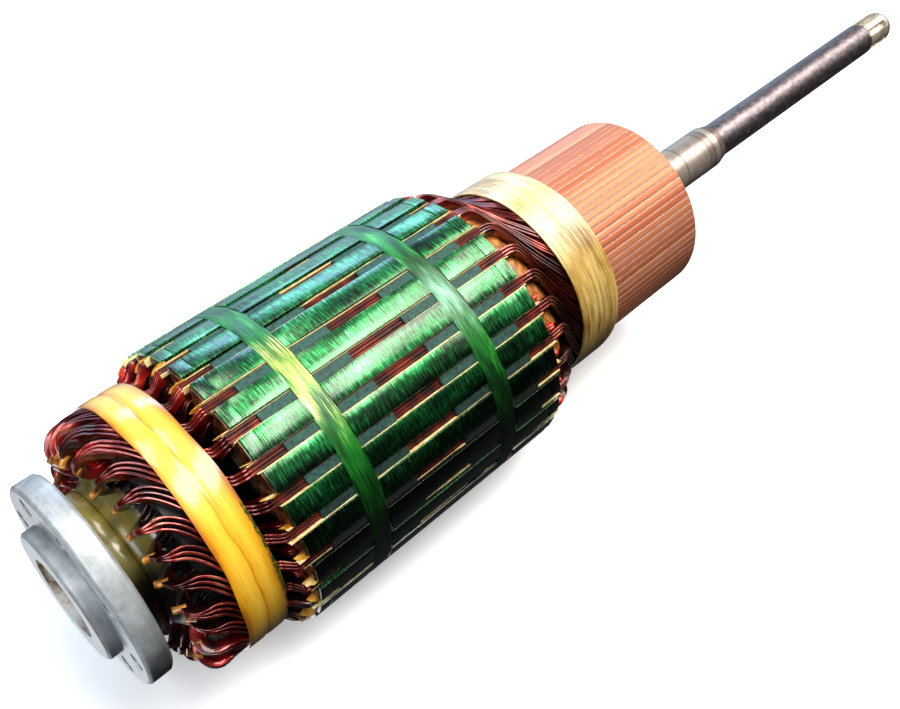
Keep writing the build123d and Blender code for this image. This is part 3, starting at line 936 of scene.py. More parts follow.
def ring_tree() -> Tree:
    """Geometry Nodes tree that sets copies of one piece round the shaft, each a little off.

    Returns:
        The tree, with inputs for the count, the play of each copy, a seed and the material.
    """
    inputs = {"Piece": "Geometry", "Count": "Int", "Play": "Vector", "Seed": "Int", "Finish": "Material"}
    tree = node_group("ring of pieces", inputs, "Ring")
    given = add_node(tree, "NodeGroupInput").outputs
    points = output(tree, "GeometryNodePoints", {"Count": given["Count"]})
    index = output(tree, "GeometryNodeInputIndex")
    share = output(tree, "ShaderNodeMath", {0: index, 1: given["Count"]}, operation="DIVIDE")
    angle = output(tree, "ShaderNodeMath", {0: share, 1: FULL_TURN}, operation="MULTIPLY")
    turn = output(tree, "FunctionNodeEulerToRotation", {0: output(tree, "ShaderNodeCombineXYZ", {0: angle})})
    stand = {"Points": points, "Instance": given["Piece"], "Rotation": turn}
    copies = output(tree, "GeometryNodeInstanceOnPoints", stand)
    back = output(tree, "ShaderNodeVectorMath", {0: given["Play"], 1: (-1, -1, -1)}, operation="MULTIPLY")
    ends = {0: back, 1: given["Play"], "Seed": given["Seed"]}
    play = output(tree, "FunctionNodeRandomValue", ends, data_type="FLOAT_VECTOR")
    shift = {"Instances": copies, "Translation": play, "Local Space": True}
    end_group(tree, output(tree, "GeometryNodeTranslateInstances", shift), given["Finish"])
    return tree


def grown(name: str, source: Mesh, tree: Tree, inputs: dict) -> Piece:
    """Run a Geometry Nodes tree on a mesh and keep the result as a plain mesh.

    Args:
        name: Name of the new object.
        source: Mesh that the tree starts from.
        tree: Geometry Nodes tree.
        inputs: The tree's input names and their values.

    Returns:
        Object with the finished mesh.
    """
    piece = new_object(name, source)
    grow = piece.modifiers.new("grow", "NODES")
    grow.node_group = tree
    for item in tree.interface.items_tree:
        if item.in_out == "INPUT" and item.name in inputs:
            grow[item.identifier] = inputs[item.name]
    baked_mesh(piece)
    return piece


@dataclass(frozen=True)
class StrapSection:
    """Rounded section of a strap and its finish."""

    width: float
    height: float
    edge: float
    finish: Finish

    def swept(self, name: str, tree: Tree, paths: np.ndarray, outward: np.ndarray, girth: np.ndarray) -> Piece:
        """Sweep the section along strands of equal length.

        Args:
            name: Name of the piece.
            tree: Geometry Nodes tree that sweeps straps.
            paths: Points of each strand, (strands, stations, 3).
            outward: Side of the strap that faces out, the same shape.
            girth: Share of the full section at each point, (strands, stations).

        Returns:
            Object with the straps, shaded smooth.
        """
        index = np.arange(girth.size).reshape(girth.shape)
        edges = np.stack([index[:, :-1], index[:, 1:]], axis=-1).reshape(-1, 2)
        mesh = bpy.data.meshes.new(name)
        mesh.from_pydata(paths.reshape(-1, 3), edges.tolist(), [])
        side = mesh.attributes.new("outward", "FLOAT_VECTOR", "POINT")
        side.data.foreach_set("vector", np.ascontiguousarray(outward.reshape(-1), dtype=np.float32))
        full = mesh.attributes.new("girth", "FLOAT", "POINT")
        full.data.foreach_set("value", np.ascontiguousarray(girth.reshape(-1), dtype=np.float32))
        inputs = {"Strap Width": self.width, "Strap Height": self.height, "Edge Radius": self.edge}
        piece = grown(name, mesh, tree, {**inputs, "Finish": self.finish.material()})
        piece.data.shade_smooth()
        return piece


@dataclass(frozen=True)
class Round:
    """How copies of one piece stand round the shaft: how many, how far off each may be, and a seed."""

    count: int
    play: tuple[float, float, float]
    seed: int

    def place(
        self, name: str, tree: Tree, shape: bmesh.types.BMesh, finish: Finish, slot: str, *nodes: str
    ) -> None:
        """Set copies of a piece round the shaft.

        Args:
            name: Name of the finished object.
            tree: Geometry Nodes tree that sets copies round the shaft.
            shape: The piece at a turn of nought. It is freed.
            finish: Finish of the copies.
            slot: Material slot of the record.
            *nodes: CAD nodes that the copies stand for.
        """
        inputs = {"Count": self.count, "Play": self.play, "Seed": self.seed, "Finish": finish.material()}
        finish_piece(grown(name, mesh_of(name, shape), tree, inputs), slot, *nodes)


@dataclass
class Winding:
    """Copper straps in the slots, the loops at the drive end and the leads to the commutator."""

    sweep: Tree
    strands: int = 3
    span_slots: int = 7
    strap_width: float = 1.95 * MM
    lead_width: float = 2.0 * MM
    side_width: float = 2.75 * MM
    strap_height: float = 9.0 * MM
    strap_round: float = 0.5 * MM
    strap_pitch: float = 2.85 * MM
    layer_gap: float = 4.0 * MM
    band_wall: float = 2.0 * MM
    top_stub: float = 5.0 * MM
    top_dive: float = 15.0 * MM
    bottom_stub: float = 1.4 * MM
    bottom_dive: float = 18.0 * MM
    nose_reach: float = 72.0 * MM
    nose_bend: float = 12.0 * MM
    nose_turn: float = 0.11
    lean: float = 0.85
    nose_spread: float = 0.42
    nose_pinch: float = 0.74
    nose_girth: float = 0.72
    pinch_reach: float = 0.62
    pinch_ease: float = 0.5
    spread_reach: float = 1.05
    spread_ease: float = 0.4
    play_reach: float = 1.1
    lift_reach: float = 0.6
    sweep_inset: float = 10.0 * MM
    upper_dive: float = 54.0 * MM
    lower_dive: float = 45.0 * MM
    lower_lead_drop: float = 13.0 * MM
    fan_length: float = 30.0 * MM
    fan: float = 1.2
    hand_forming: float = 1.3 * MM
    side_lift: float = 0.2 * MM
    strand_lift: float = 0.3 * MM
    run_stations: int = 26
    nose_stations: int = 15
    side_stations: int = 14
    lead_stations: tuple[int, int] = (40, 24)
    smooth_deg: float = 50.0
    # side_cosine, dark_depth and the three turns below pick where the straps get painted shade (black-red) and
    # painted light (crimson on the loops, red enamel on the leads).
    side_cosine: float = 0.35
    dark_depth: float = 1.3
    lit_side_turn: float = -0.05
    low_glint_turn: float = -1.6
    red_lead_turn: float = -0.1
    seed: int = 5

    def __post_init__(self) -> None:
        """Read the places of the core, bands and risers from the frame."""
        self.core_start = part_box("end_pack_drive")[0][0]
        self.core_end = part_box("end_pack_comm")[1][0]
        self.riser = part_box("commutator_bars")[0][0]
        self.top_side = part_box("coil_sides_top")[1][2] - self.strap_height / 2
        self.bottom_side = self.top_side - self.strap_height - self.layer_gap
        self.drive_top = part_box("drive_band")[1][2] - self.band_wall - self.strap_height / 2
        self.drive_bottom = self.drive_top - 2 * self.nose_bend
        self.lead_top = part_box("commutator_bars")[1][2] - self.strap_height / 2
        self.lead_bottom = self.lead_top - self.lower_lead_drop
        self.half_span = math.pi * self.span_slots / SLOT_COUNT
        self.random = np.random.default_rng(self.seed)

    def loop_path(self, station: np.ndarray, reach: float) -> tuple[np.ndarray, ...]:
        """Middle line of a loop in its own slot's frame.

        Args:
            station: Places along the loop: nought to one out, one to two round the nose, two to three back.
            reach: How far out the nose bends.

        Returns:
            Places along the shaft, turns, radii, rolls of the strap, spreads of the strands and
            shares of the strap's full section.
        """
        run = np.where(station <= 1, station, 3 - station)
        below = station > 1.5
        stub = np.where(below, self.bottom_stub, self.top_stub)
        dive = np.where(below, self.bottom_dive, self.top_dive)
        side = np.where(below, self.bottom_side, self.top_side)
        drum = np.where(below, self.drive_bottom, self.drive_top)
        roll = math.pi * np.clip(station - 1, 0, 1)
        out = stub + np.clip(run, 0, 1) * (reach - stub)
        radius = side - (side - drum) * eased((out - stub) / dive)
        share = eased(self.lean * run) / eased(self.lean)
        leant = (self.half_span - self.nose_turn / 2) * share
        turn = np.where(station <= 1, leant, 2 * self.half_span - leant)
        nose = (station > 1) & (station < 2)
        out = np.where(nose, reach + self.nose_bend * np.sin(roll), out)
        radius = np.where(nose, self.drive_top - self.nose_bend + self.nose_bend * np.cos(roll), radius)
        turn = np.where(nose, self.half_span + self.nose_turn * (roll / math.pi - 0.5), turn)
        away = np.abs(station - 1.5)
        pinch = eased((self.pinch_reach - away) / self.pinch_ease)
        opened = eased((self.spread_reach - away) / self.spread_ease)
        spread = (1 + self.nose_spread * opened) * (1 - self.nose_pinch * pinch)
        girth = 1 - (1 - self.nose_girth) * pinch
        return self.core_start - out, turn, radius, roll, spread, girth

    def build_loops(self) -> np.ndarray:
        """Loops of the drive end, hand-formed so that no two noses match.

        Returns:
            Middle point of each nose.
        """
        run = np.linspace(0, 1, self.run_stations)
        station = np.concatenate([run, np.linspace(1, 2, self.nose_stations)[1:-1], run + 2])
        away = np.abs(station - 1.5)
        play = eased(1 - away / self.play_reach)
        middles, sides = [], []
        for slot in slot_turns():
            reach = self.nose_reach + self.random.normal(0, self.hand_forming)
            along, turn, radius, roll, spread, girth = self.loop_path(station, reach)
            turn = turn + slot + self.random.normal(0, self.hand_forming / self.drive_top) * play
            radius = radius + self.random.normal(0, self.hand_forming) * play * (away < self.lift_reach)
            middles.append(on_drum(along, turn, radius))
            sides.append(on_drum(-np.sin(roll), turn, np.cos(roll)))
        middle = np.array(middles)
        section = self.section(self.strap_width, PALETTE.enamel)
        loops = self.dress("coil-loops", "coil_loops", section, middle, np.array(sides), play, spread, girth)
        # Slots near the top and bottom get crimson on their sides and deep parts as painted light and glints; the
        # rest get painted shade there.
        turns = from_top(slot_turns() + self.half_span)
        bright = (turns > self.lit_side_turn) | (turns < self.low_glint_turn)
        self.varnish(loops, self.drive_top - self.dark_depth * self.nose_bend, bright, PALETTE.crimson)
        return middle[:, int(np.argmin(away))]

    def lead_path(self, upper: bool) -> tuple[np.ndarray, np.ndarray, np.ndarray]:
        """Middle line of a lead in its own slot's frame.

        Args:
            upper: Whether the lead lies in the layer that shows.

        Returns:
            Distances out from the core, turns and radii.
        """
        stub = self.top_stub if upper else self.bottom_stub
        side = self.top_side if upper else self.bottom_side
        drum = self.lead_top if upper else self.lead_bottom
        dive = self.upper_dive if upper else self.lower_dive
        way = -1 if upper else 1
        reach = self.riser - self.core_end
        out = stub + np.linspace(0, 1, self.lead_stations[0 if upper else 1]) * (reach - stub)
        radius = side - (side - drum) * eased((out - stub) / dive)
        turn = way * self.half_span * eased((out - self.sweep_inset) / (reach - self.sweep_inset))
        return out, turn, radius

    def build_leads(self, name: str, node: str, upper: bool) -> None:
        """One layer of leads from the slots to the risers.

        Args:
            name: Name of the layer.
            node: CAD node that it stands for.
            upper: Whether this is the layer that shows.
        """
        out, turn, radius = self.lead_path(upper)
        reach = self.riser - self.core_end
        spread = 1 + self.fan * eased((out - reach + self.fan_length) / self.fan_length)
        turns = slot_turns()[:, None] + turn
        middle = on_drum(self.core_end + out, turns, radius)
        held = np.sin(math.pi * np.linspace(0, 1, len(out)))
        section = self.section(self.lead_width, PALETTE.lead_enamel)
        leads = self.dress(name, node, section, middle, on_drum(0.0, turns, 1.0), held, spread)
        # Leads of the upper slots stay red enamel all over as painted light; the rest get painted shade on their
        # sides.
        self.varnish(leads, 0.0, from_top(slot_turns()) > self.red_lead_turn, PALETTE.enamel)

    def build_sides(self, name: str, node: str, middle_radius: float, stub: float) -> None:
        """Straight straps in the slots.

        Args:
            name: Name of the layer.
            node: CAD node that it stands for.
            middle_radius: Radius of the straps' middle line.
            stub: How far they stand past the core.
        """
        along = np.linspace(self.core_start - stub, self.core_end + stub, self.side_stations)
        turns = np.repeat(slot_turns()[:, None], len(along), axis=1)
        middle = on_drum(along, turns, middle_radius)
        held = np.sin(math.pi * np.linspace(0, 1, len(along)))
        section = self.section(self.side_width, PALETTE.slot_copper)
        self.dress(name, node, section, middle, on_drum(0.0, turns, 1.0), held, straight=True)

    def varnish(self, piece: Piece, below: float, bright: np.ndarray, finish: Finish) -> None:
        """Paint shade in black-red enamel on the straps' sides and deep parts, and painted light on bright slots.

        Args:
            piece: The finished straps, strand after strand and slot after slot.
            below: Radius under which whole straps get the painted shade.
            bright: Whether each slot's straps get the bright finish there instead, as painted light.
            finish: That bright finish. Where it is the red enamel of the leads, it covers the whole strap.
        """
        piece.data.materials.append(PALETTE.shade_enamel.material())
        piece.data.materials.append(finish.material())
        faces_each = len(piece.data.polygons) // SLOT_COUNT
        for face in piece.data.polygons:
            radius = math.hypot(face.center.y, face.center.z)
            outward = (face.normal.y * face.center.y + face.normal.z * face.center.z) / radius
            shaded = radius < below or max(outward, -face.normal.x) < self.side_cosine
            if shaded or finish is PALETTE.enamel:
                face.material_index = 2 if bright[face.index // faces_each] else int(shaded)

    def section(self, width: float, finish: Finish) -> StrapSection:
        """Section of a strap of a width."""
        return StrapSection(width, self.strap_height, self.strap_round, finish)

    def dress(
        self,
        name: str,
        node: str,
        section: StrapSection,
        middle: np.ndarray,
        outward: np.ndarray,
        held: np.ndarray,
        spread: np.ndarray | float = 1.0,
        girth: np.ndarray | float = 1.0,
        straight: bool = False,
    ) -> Piece:
        """Lay strands beside one another along middle lines, sweep the straps and finish them.

        Args:
            name: Name of the piece.
            node: CAD node that the piece stands for.
            section: Section of each strap.
            middle: Points of the middle lines, (groups, stations, 3).
            outward: Outward side at each point.
            held: Share of a strand's unevenness at each station.
            spread: Spread of the strands at each station.
            girth: Share of the full section at each station.
            straight: Whether the straps lie straight in slots, uneven from station to station.

        Returns:
            The finished straps.
        """
        across = np.cross(np.gradient(middle, axis=1), outward)
        across /= np.linalg.norm(across, axis=-1, keepdims=True)
        steps = (np.arange(self.strands) - (self.strands - 1) / 2) * self.strap_pitch
        paths = middle[:, None] + across[:, None] * (steps[None, :, None] * spread)[..., None]
        shape = paths.shape[:3]
        if straight:
            lift = self.random.normal(0, self.side_lift, (*shape, 1)) * held[:, None]
        else:
            lift = self.random.normal(0, self.strand_lift, (*shape[:2], 1, 1)) * held[:, None]
        paths = paths + outward[:, None] * lift
        sides = np.broadcast_to(outward[:, None], paths.shape)
        flat = (-1, *paths.shape[2:])
        girths = np.broadcast_to(girth, shape).reshape(flat[:2])
        piece = section.swept(name, self.sweep, paths.reshape(flat), sides.reshape(flat), girths)
        piece.data.set_sharp_from_angle(angle=math.radians(self.smooth_deg))
        return finish_piece(piece, "enamelled_copper", node)

    def build(self) -> np.ndarray:
        """Make every layer of the winding.

        Returns:
            Middle point of each nose.
        """
        self.build_sides("coil-sides-top", "coil_sides_top", self.top_side, self.top_stub)
        self.build_sides("coil-sides-bottom", "coil_sides_bottom", self.bottom_side, self.bottom_stub)
        noses = self.build_loops()
        self.build_leads("leads-top", "leads_top", True)
        self.build_leads("leads-bottom", "leads_bottom", False)
        return noses


@dataclass
class SlotFilling:
    """Packing strips and slot paper, which show along every slot."""

    paper_wall: float = 0.55 * MM
    paper_depth: float = 5.0 * MM
    paper_rise: float = 1.1 * MM
    paper_tuck: float = 1.6 * MM
    shows_low: float = 0.85
    shows_high: float = 0.3
    drift: float = 0.22
    drift_range: tuple[float, float] = (-1.0, 0.6)
    wall_range: tuple[float, float] = (0.8, 1.6)
    splay_range_mm: tuple[float, float] = (-0.6, 1.0)
    slot_play: float = 0.05 * MM
    strip_wall: float = 2.1 * MM
    strip_gap: float = 1.5 * MM
    strip_edge: float = 0.35 * MM
    strip_play: tuple[float, float, float] = (2.5 * MM, 0.25 * MM, 0.25 * MM)
    tab_length: float = 9.0 * MM
    drive_tabs: tuple[float, float] = (0.2, 1.0)
    comm_tabs: tuple[float, float] = (0.2, 0.8)
    stations: int = 46
    seed: int = 11

    def __post_init__(self) -> None:
        """Read the core's ends from the frame."""
        self.core_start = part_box("end_pack_drive")[0][0]
        self.core_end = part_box("end_pack_comm")[1][0]
        self.paper_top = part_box("slot_liners")[1][2]
        self.random = np.random.default_rng(self.seed)

    def build_strips(self, tree: Tree) -> None:
        """Packing strips under the core bands, each set a little off its neighbours.

        Args:
            tree: Geometry Nodes tree that sets copies round the shaft.
        """
        for index, node in enumerate(("wedges_drive", "wedges_comm")):
            low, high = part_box(node)
            size = (high[0] - low[0], SLOT_WIDTH - self.paper_wall - self.strip_gap, self.strip_wall)
            lean = (self.paper_wall - self.strip_gap) / 2
            shape = block(size, ((low[0] + high[0]) / 2, lean, high[2] - self.strip_wall / 2))
            bmesh.ops.bevel(shape, geom=shape.edges[:], offset=self.strip_edge, segments=2, affect="EDGES")
            around = Round(SLOT_COUNT, self.strip_play, self.seed + index)
            around.place(f"{node}-dressed", tree, shape, PALETTE.wedge, "wedge_laminate", node)

    def paper_edge(self, turn: float, side: int) -> np.ndarray:
        """One side of one slot's paper.

        Args:
            turn: Turn of the slot about the shaft.
            side: One for the side that faces the turn's way, or minus one.

        Returns:
            Points of the four long edges, (stations, 4, 3).
        """
        shows = self.random.random() < (self.shows_low if side < 0 else self.shows_high)
        start = self.core_start - self.random.uniform(*self.drive_tabs) * self.tab_length
        end = self.core_end + self.random.uniform(*self.comm_tabs) * self.tab_length
        along = np.linspace(start, end, self.stations)
        drift = np.cumsum(self.random.normal(0, self.drift, self.stations))
        top = self.paper_top + self.paper_rise * np.clip(drift - drift.mean(), *self.drift_range)
        top = top - (0.0 if shows else self.paper_tuck)
        wall = self.paper_wall * self.random.uniform(*self.wall_range)
        beyond = np.maximum(self.core_start - along, along - self.core_end) > 0
        splay = np.where(beyond, self.random.uniform(*self.splay_range_mm) * MM, 0.0)
        outer = side * (SLOT_WIDTH / 2 - self.slot_play + splay)
        inner = outer - side * wall
        foot = np.full(self.stations, self.paper_top - self.paper_depth)
        rows = []
        for across, up in ((outer, foot), (outer, top), (inner, top), (inner, foot)):
            y = up * math.sin(turn) + across * math.cos(turn)
            z = up * math.cos(turn) - across * math.sin(turn)
            rows.append(np.stack([along, y, z], axis=-1))
        return np.stack(rows, axis=1)

    def build_paper(self) -> None:
        """Slot paper: a ragged edge up each side of each slot, with tabs past the core's ends."""
        pieces = [self.paper_edge(turn, side) for turn in slot_turns() for side in (-1, 1)]
        faces = []
        for number in range(len(pieces)):
            base = number * self.stations * 4
            last = base + (self.stations - 1) * 4
            for row in range(base, last, 4):
                for k in range(4):
                    a, b = row + k, row + (k + 1) % 4
                    faces.append((a, b, b + 4, a + 4))
            faces += [tuple(range(base, base + 4)), tuple(range(last, last + 4))]
        mesh = faced_mesh("slot-paper", np.concatenate(pieces).reshape(-1, 3), faces, PALETTE.liner)
        finish_piece(new_object("slot-paper", mesh), "liner_paper", "slot_liners")


@dataclass
class GlassBand:
    """A band of glass tape wound round a drum."""

    node: str
    slot: str
    finish: Finish
    wave: float
    crease: float = 0.0
    seed: int = 3
    wall: float = 2.0 * MM
    edge_drop: float = 0.8 * MM
    edge_power: int = 6
    crease_share: float = 0.06
    ripple: float = 0.4
    ripple_orders: tuple = (2, 3, 5, 8, 13)
    segments: int = 240
    columns: int = 20

    def build(self) -> None:
        """Ring with slightly wavy edges and a crease between its laps where it has one."""
        low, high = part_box(self.node)
        random = np.random.default_rng(self.seed)
        turn = np.arange(self.segments) * FULL_TURN / self.segments
        ripple = sum(
            random.normal(0, self.ripple) * np.sin(order * turn + random.uniform(0, FULL_TURN))
            for order in self.ripple_orders
        )
        left = low[0] + self.wave * ripple
        right = high[0] + self.wave * np.roll(ripple, self.segments // 3)
        share = np.linspace(0, 1, self.columns)
        bow = 1 - np.abs(2 * share - 1) ** self.edge_power
        dent = np.exp(-(((share - 0.5) / self.crease_share) ** 2))
        height = high[2] - self.edge_drop * (1 - bow) - self.crease * dent
        along = left[:, None] + (right - left)[:, None] * share
        outer = on_drum(along, turn[:, None], height)
        inner = on_drum(np.stack([right, left], axis=1), turn[:, None], high[2] - self.wall)
        mesh = ring_mesh(self.node, np.concatenate([outer, inner], axis=1), self.finish)
        finish_piece(new_object(f"{self.node}-dressed", mesh), self.slot, self.node)


@dataclass
class TurnedPieces:
    """Core, commutator, flange, hub and shaft: copies of the solids with softened edges."""

    rim_radius: float = 84.0 * MM
    rim_slope: float = 0.5
    pocket_radius: float = 34.4 * MM
    pocket_floor: float = 12.0 * MM
    collar_length: float = 129.0 * MM
    collar_overlap: float = 1.0 * MM

    def build_plain(self) -> None:
        """Pieces of one finish each: core, commutator, and the hub and supports with their paper."""
        for finish, slot, edge_mm, nodes in (
            (PALETTE.core, "core_varnish", 0.2, ("core_stack", "end_pack_drive", "end_pack_comm")),
            (PALETTE.dark_paper, "insulation_paper", 0.0, ("end_sheet_drive", "end_sheet_comm")),
            (PALETTE.bars, "commutator_copper", 0.15, ("commutator_bars",)),
            (PALETTE.mica, "mica", 0.0, ("mica_cone_inner", "mica_cone_outer")),
            (PALETTE.journal, "shaft_steel", 0.4, ("commutator_shell", "clamp_ring", "commutator_nut")),
            (PALETTE.olive, "olive_paint", 0.0, ("hub_sleeve", "drive_winding_support")),
            # These packings and wraps are near-black to stand for the shade between the straps: painted shade.
            (PALETTE.pitch, "insulation_paper", 0.0,
             ("drive_drum_wrap", "drive_layer_packing", "comm_winding_support", "comm_drum_wrap")),
        ):
            for node in nodes:
                refined(node, finish, slot, edge_mm)

    def build_flange(self) -> None:
        """Flange, rusty in its pocket, and stained on its rim, with painted shade darkening the rim towards the
        bottom.
        """
        flange = refined("drive_flange", PALETTE.flange, "flange_steel", 0.6)
        flange.data.materials.append(PALETTE.rust.material())
        flange.data.materials.append(PALETTE.flange_rim.material())
        radii = [math.hypot(corner.co.y, corner.co.z) for corner in flange.data.vertices]
        # Pocket faces get rust. Rim faces get the stained finish, whose darkening towards the bottom is painted
        # shade.
        for face in flange.data.polygons:
            widest = max(radii[corner] for corner in face.vertices)
            if widest < self.pocket_radius and face.center.x < self.pocket_floor:
                face.material_index = 1
            elif widest > self.rim_radius and abs(face.normal.x) < self.rim_slope:
                face.material_index = 2

    def build_shaft(self) -> None:
        """Splined tip and stepped shaft. The shaft's collar is brighter than its journal."""
        refined("spline_end", PALETTE.nickel, "bright_steel", 0.5)
        shaft = refined("shaft", PALETTE.journal, "shaft_steel", 0.3)
        shaft.data.materials.append(PALETTE.collar.material())
        start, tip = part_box("commutator_nut")[1][0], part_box("spline_end")[0][0]
        for face in shaft.data.polygons:
            if start - self.collar_overlap < face.center.x < min(start + self.collar_length, tip):
                face.material_index = 1

    def build(self) -> None:
        """Make all the turned pieces."""
        self.build_plain()
        self.build_flange()
        self.build_shaft()


@dataclass
class NoseTips:
    """Pointed bits of tan resin and paper on the noses of the coils."""

    sweep: Tree
    noses: np.ndarray
    length: float = 7.0 * MM
    width: float = 5.0 * MM
    height: float = 5.6 * MM
    edge: float = 2.2 * MM
    reach: tuple[float, float] = (0.25, 0.95)
    overhang: float = 0.55
    root: float = 0.1
    hook: float = 0.25
    droop: tuple[float, float] = (0.3, 0.9)
    sway: float = 0.15
    seat_mm: float = 0.5
    girths: tuple = (0.8, 0.95, 1.15)
    odds: tuple = (0.5, 0.3, 0.2)
    taper: tuple[float, float] = (0.75, 0.95)
    taper_power: float = 1.4
    stations: int = 7
    seed: int = 23

    def build(self) -> None:
        """A tapered tip on each nose, no two of a size."""
        random = np.random.default_rng(self.seed)
        share = np.linspace(0, 1, self.stations)
        shaft = np.array([1.0, 0.0, 0.0])
        paths, sides, girths = [], [], []
        for nose in self.noses:
            radial = np.array([0.0, nose[1], nose[2]])
            radial /= np.linalg.norm(radial)
            sideways = np.cross(radial, shaft)
            reach = self.length * random.uniform(*self.reach)
            aim = -shaft - radial * random.uniform(*self.droop) + sideways * random.uniform(-self.sway, self.sway)
            aim /= np.linalg.norm(aim)
            start = nose - aim * self.root * self.length + radial * random.uniform(-self.seat_mm, self.seat_mm) * MM
            bend = radial * -self.hook * self.length * share[:, None] ** 2
            paths.append(start + aim * (reach + self.overhang * self.length) * share[:, None] + bend)
            sides.append(np.repeat(np.cross(sideways, aim)[None], self.stations, axis=0))
            full = random.choice(self.girths, p=self.odds)
            girths.append((1 - share**self.taper_power * random.uniform(*self.taper)) * full)
        section = StrapSection(self.width, self.height, self.edge, PALETTE.tip)
        piece = section.swept("nose-tips", self.sweep, np.array(paths), np.array(sides), np.array(girths))
        finish_piece(piece, "insulation_paper")


@dataclass
class LeadPacking:
    """Brown paper between the two layers of leads, which shows in the gaps beside the core."""

    winding: Winding
    wall: float = 1.4 * MM
    clearance: float = 0.5 * MM
    riser_gap: float = 6.0 * MM
    core_gap: float = 2.2 * MM
    raggedness: float = 0.5 * MM
    segments: int = 168
    seed: int = 17

    def build(self) -> None:
        """Ring that follows the underside of the upper layer, with a ragged edge by the core."""
        out, _, radius = self.winding.lead_path(True)
        keep = out < (self.winding.riser - self.winding.core_end) - self.riser_gap
        out, top = out[keep], radius[keep] - self.winding.strap_height / 2 - self.clearance
        turn = np.arange(self.segments)[:, None] * FULL_TURN / self.segments
        random = np.random.default_rng(self.seed)
        ragged = random.normal(0, self.raggedness, self.segments)[:, None] * (out == out[0])
        along = self.winding.core_end + out - self.core_gap + ragged
        inner = on_drum(along, turn, top - self.wall)[:, ::-1]
        mesh = ring_mesh("lead-packing", np.concatenate([on_drum(along, turn, top), inner], axis=1), PALETTE.paper)
        finish_piece(new_object("lead-packing", mesh), "insulation_paper", "lead_packing")


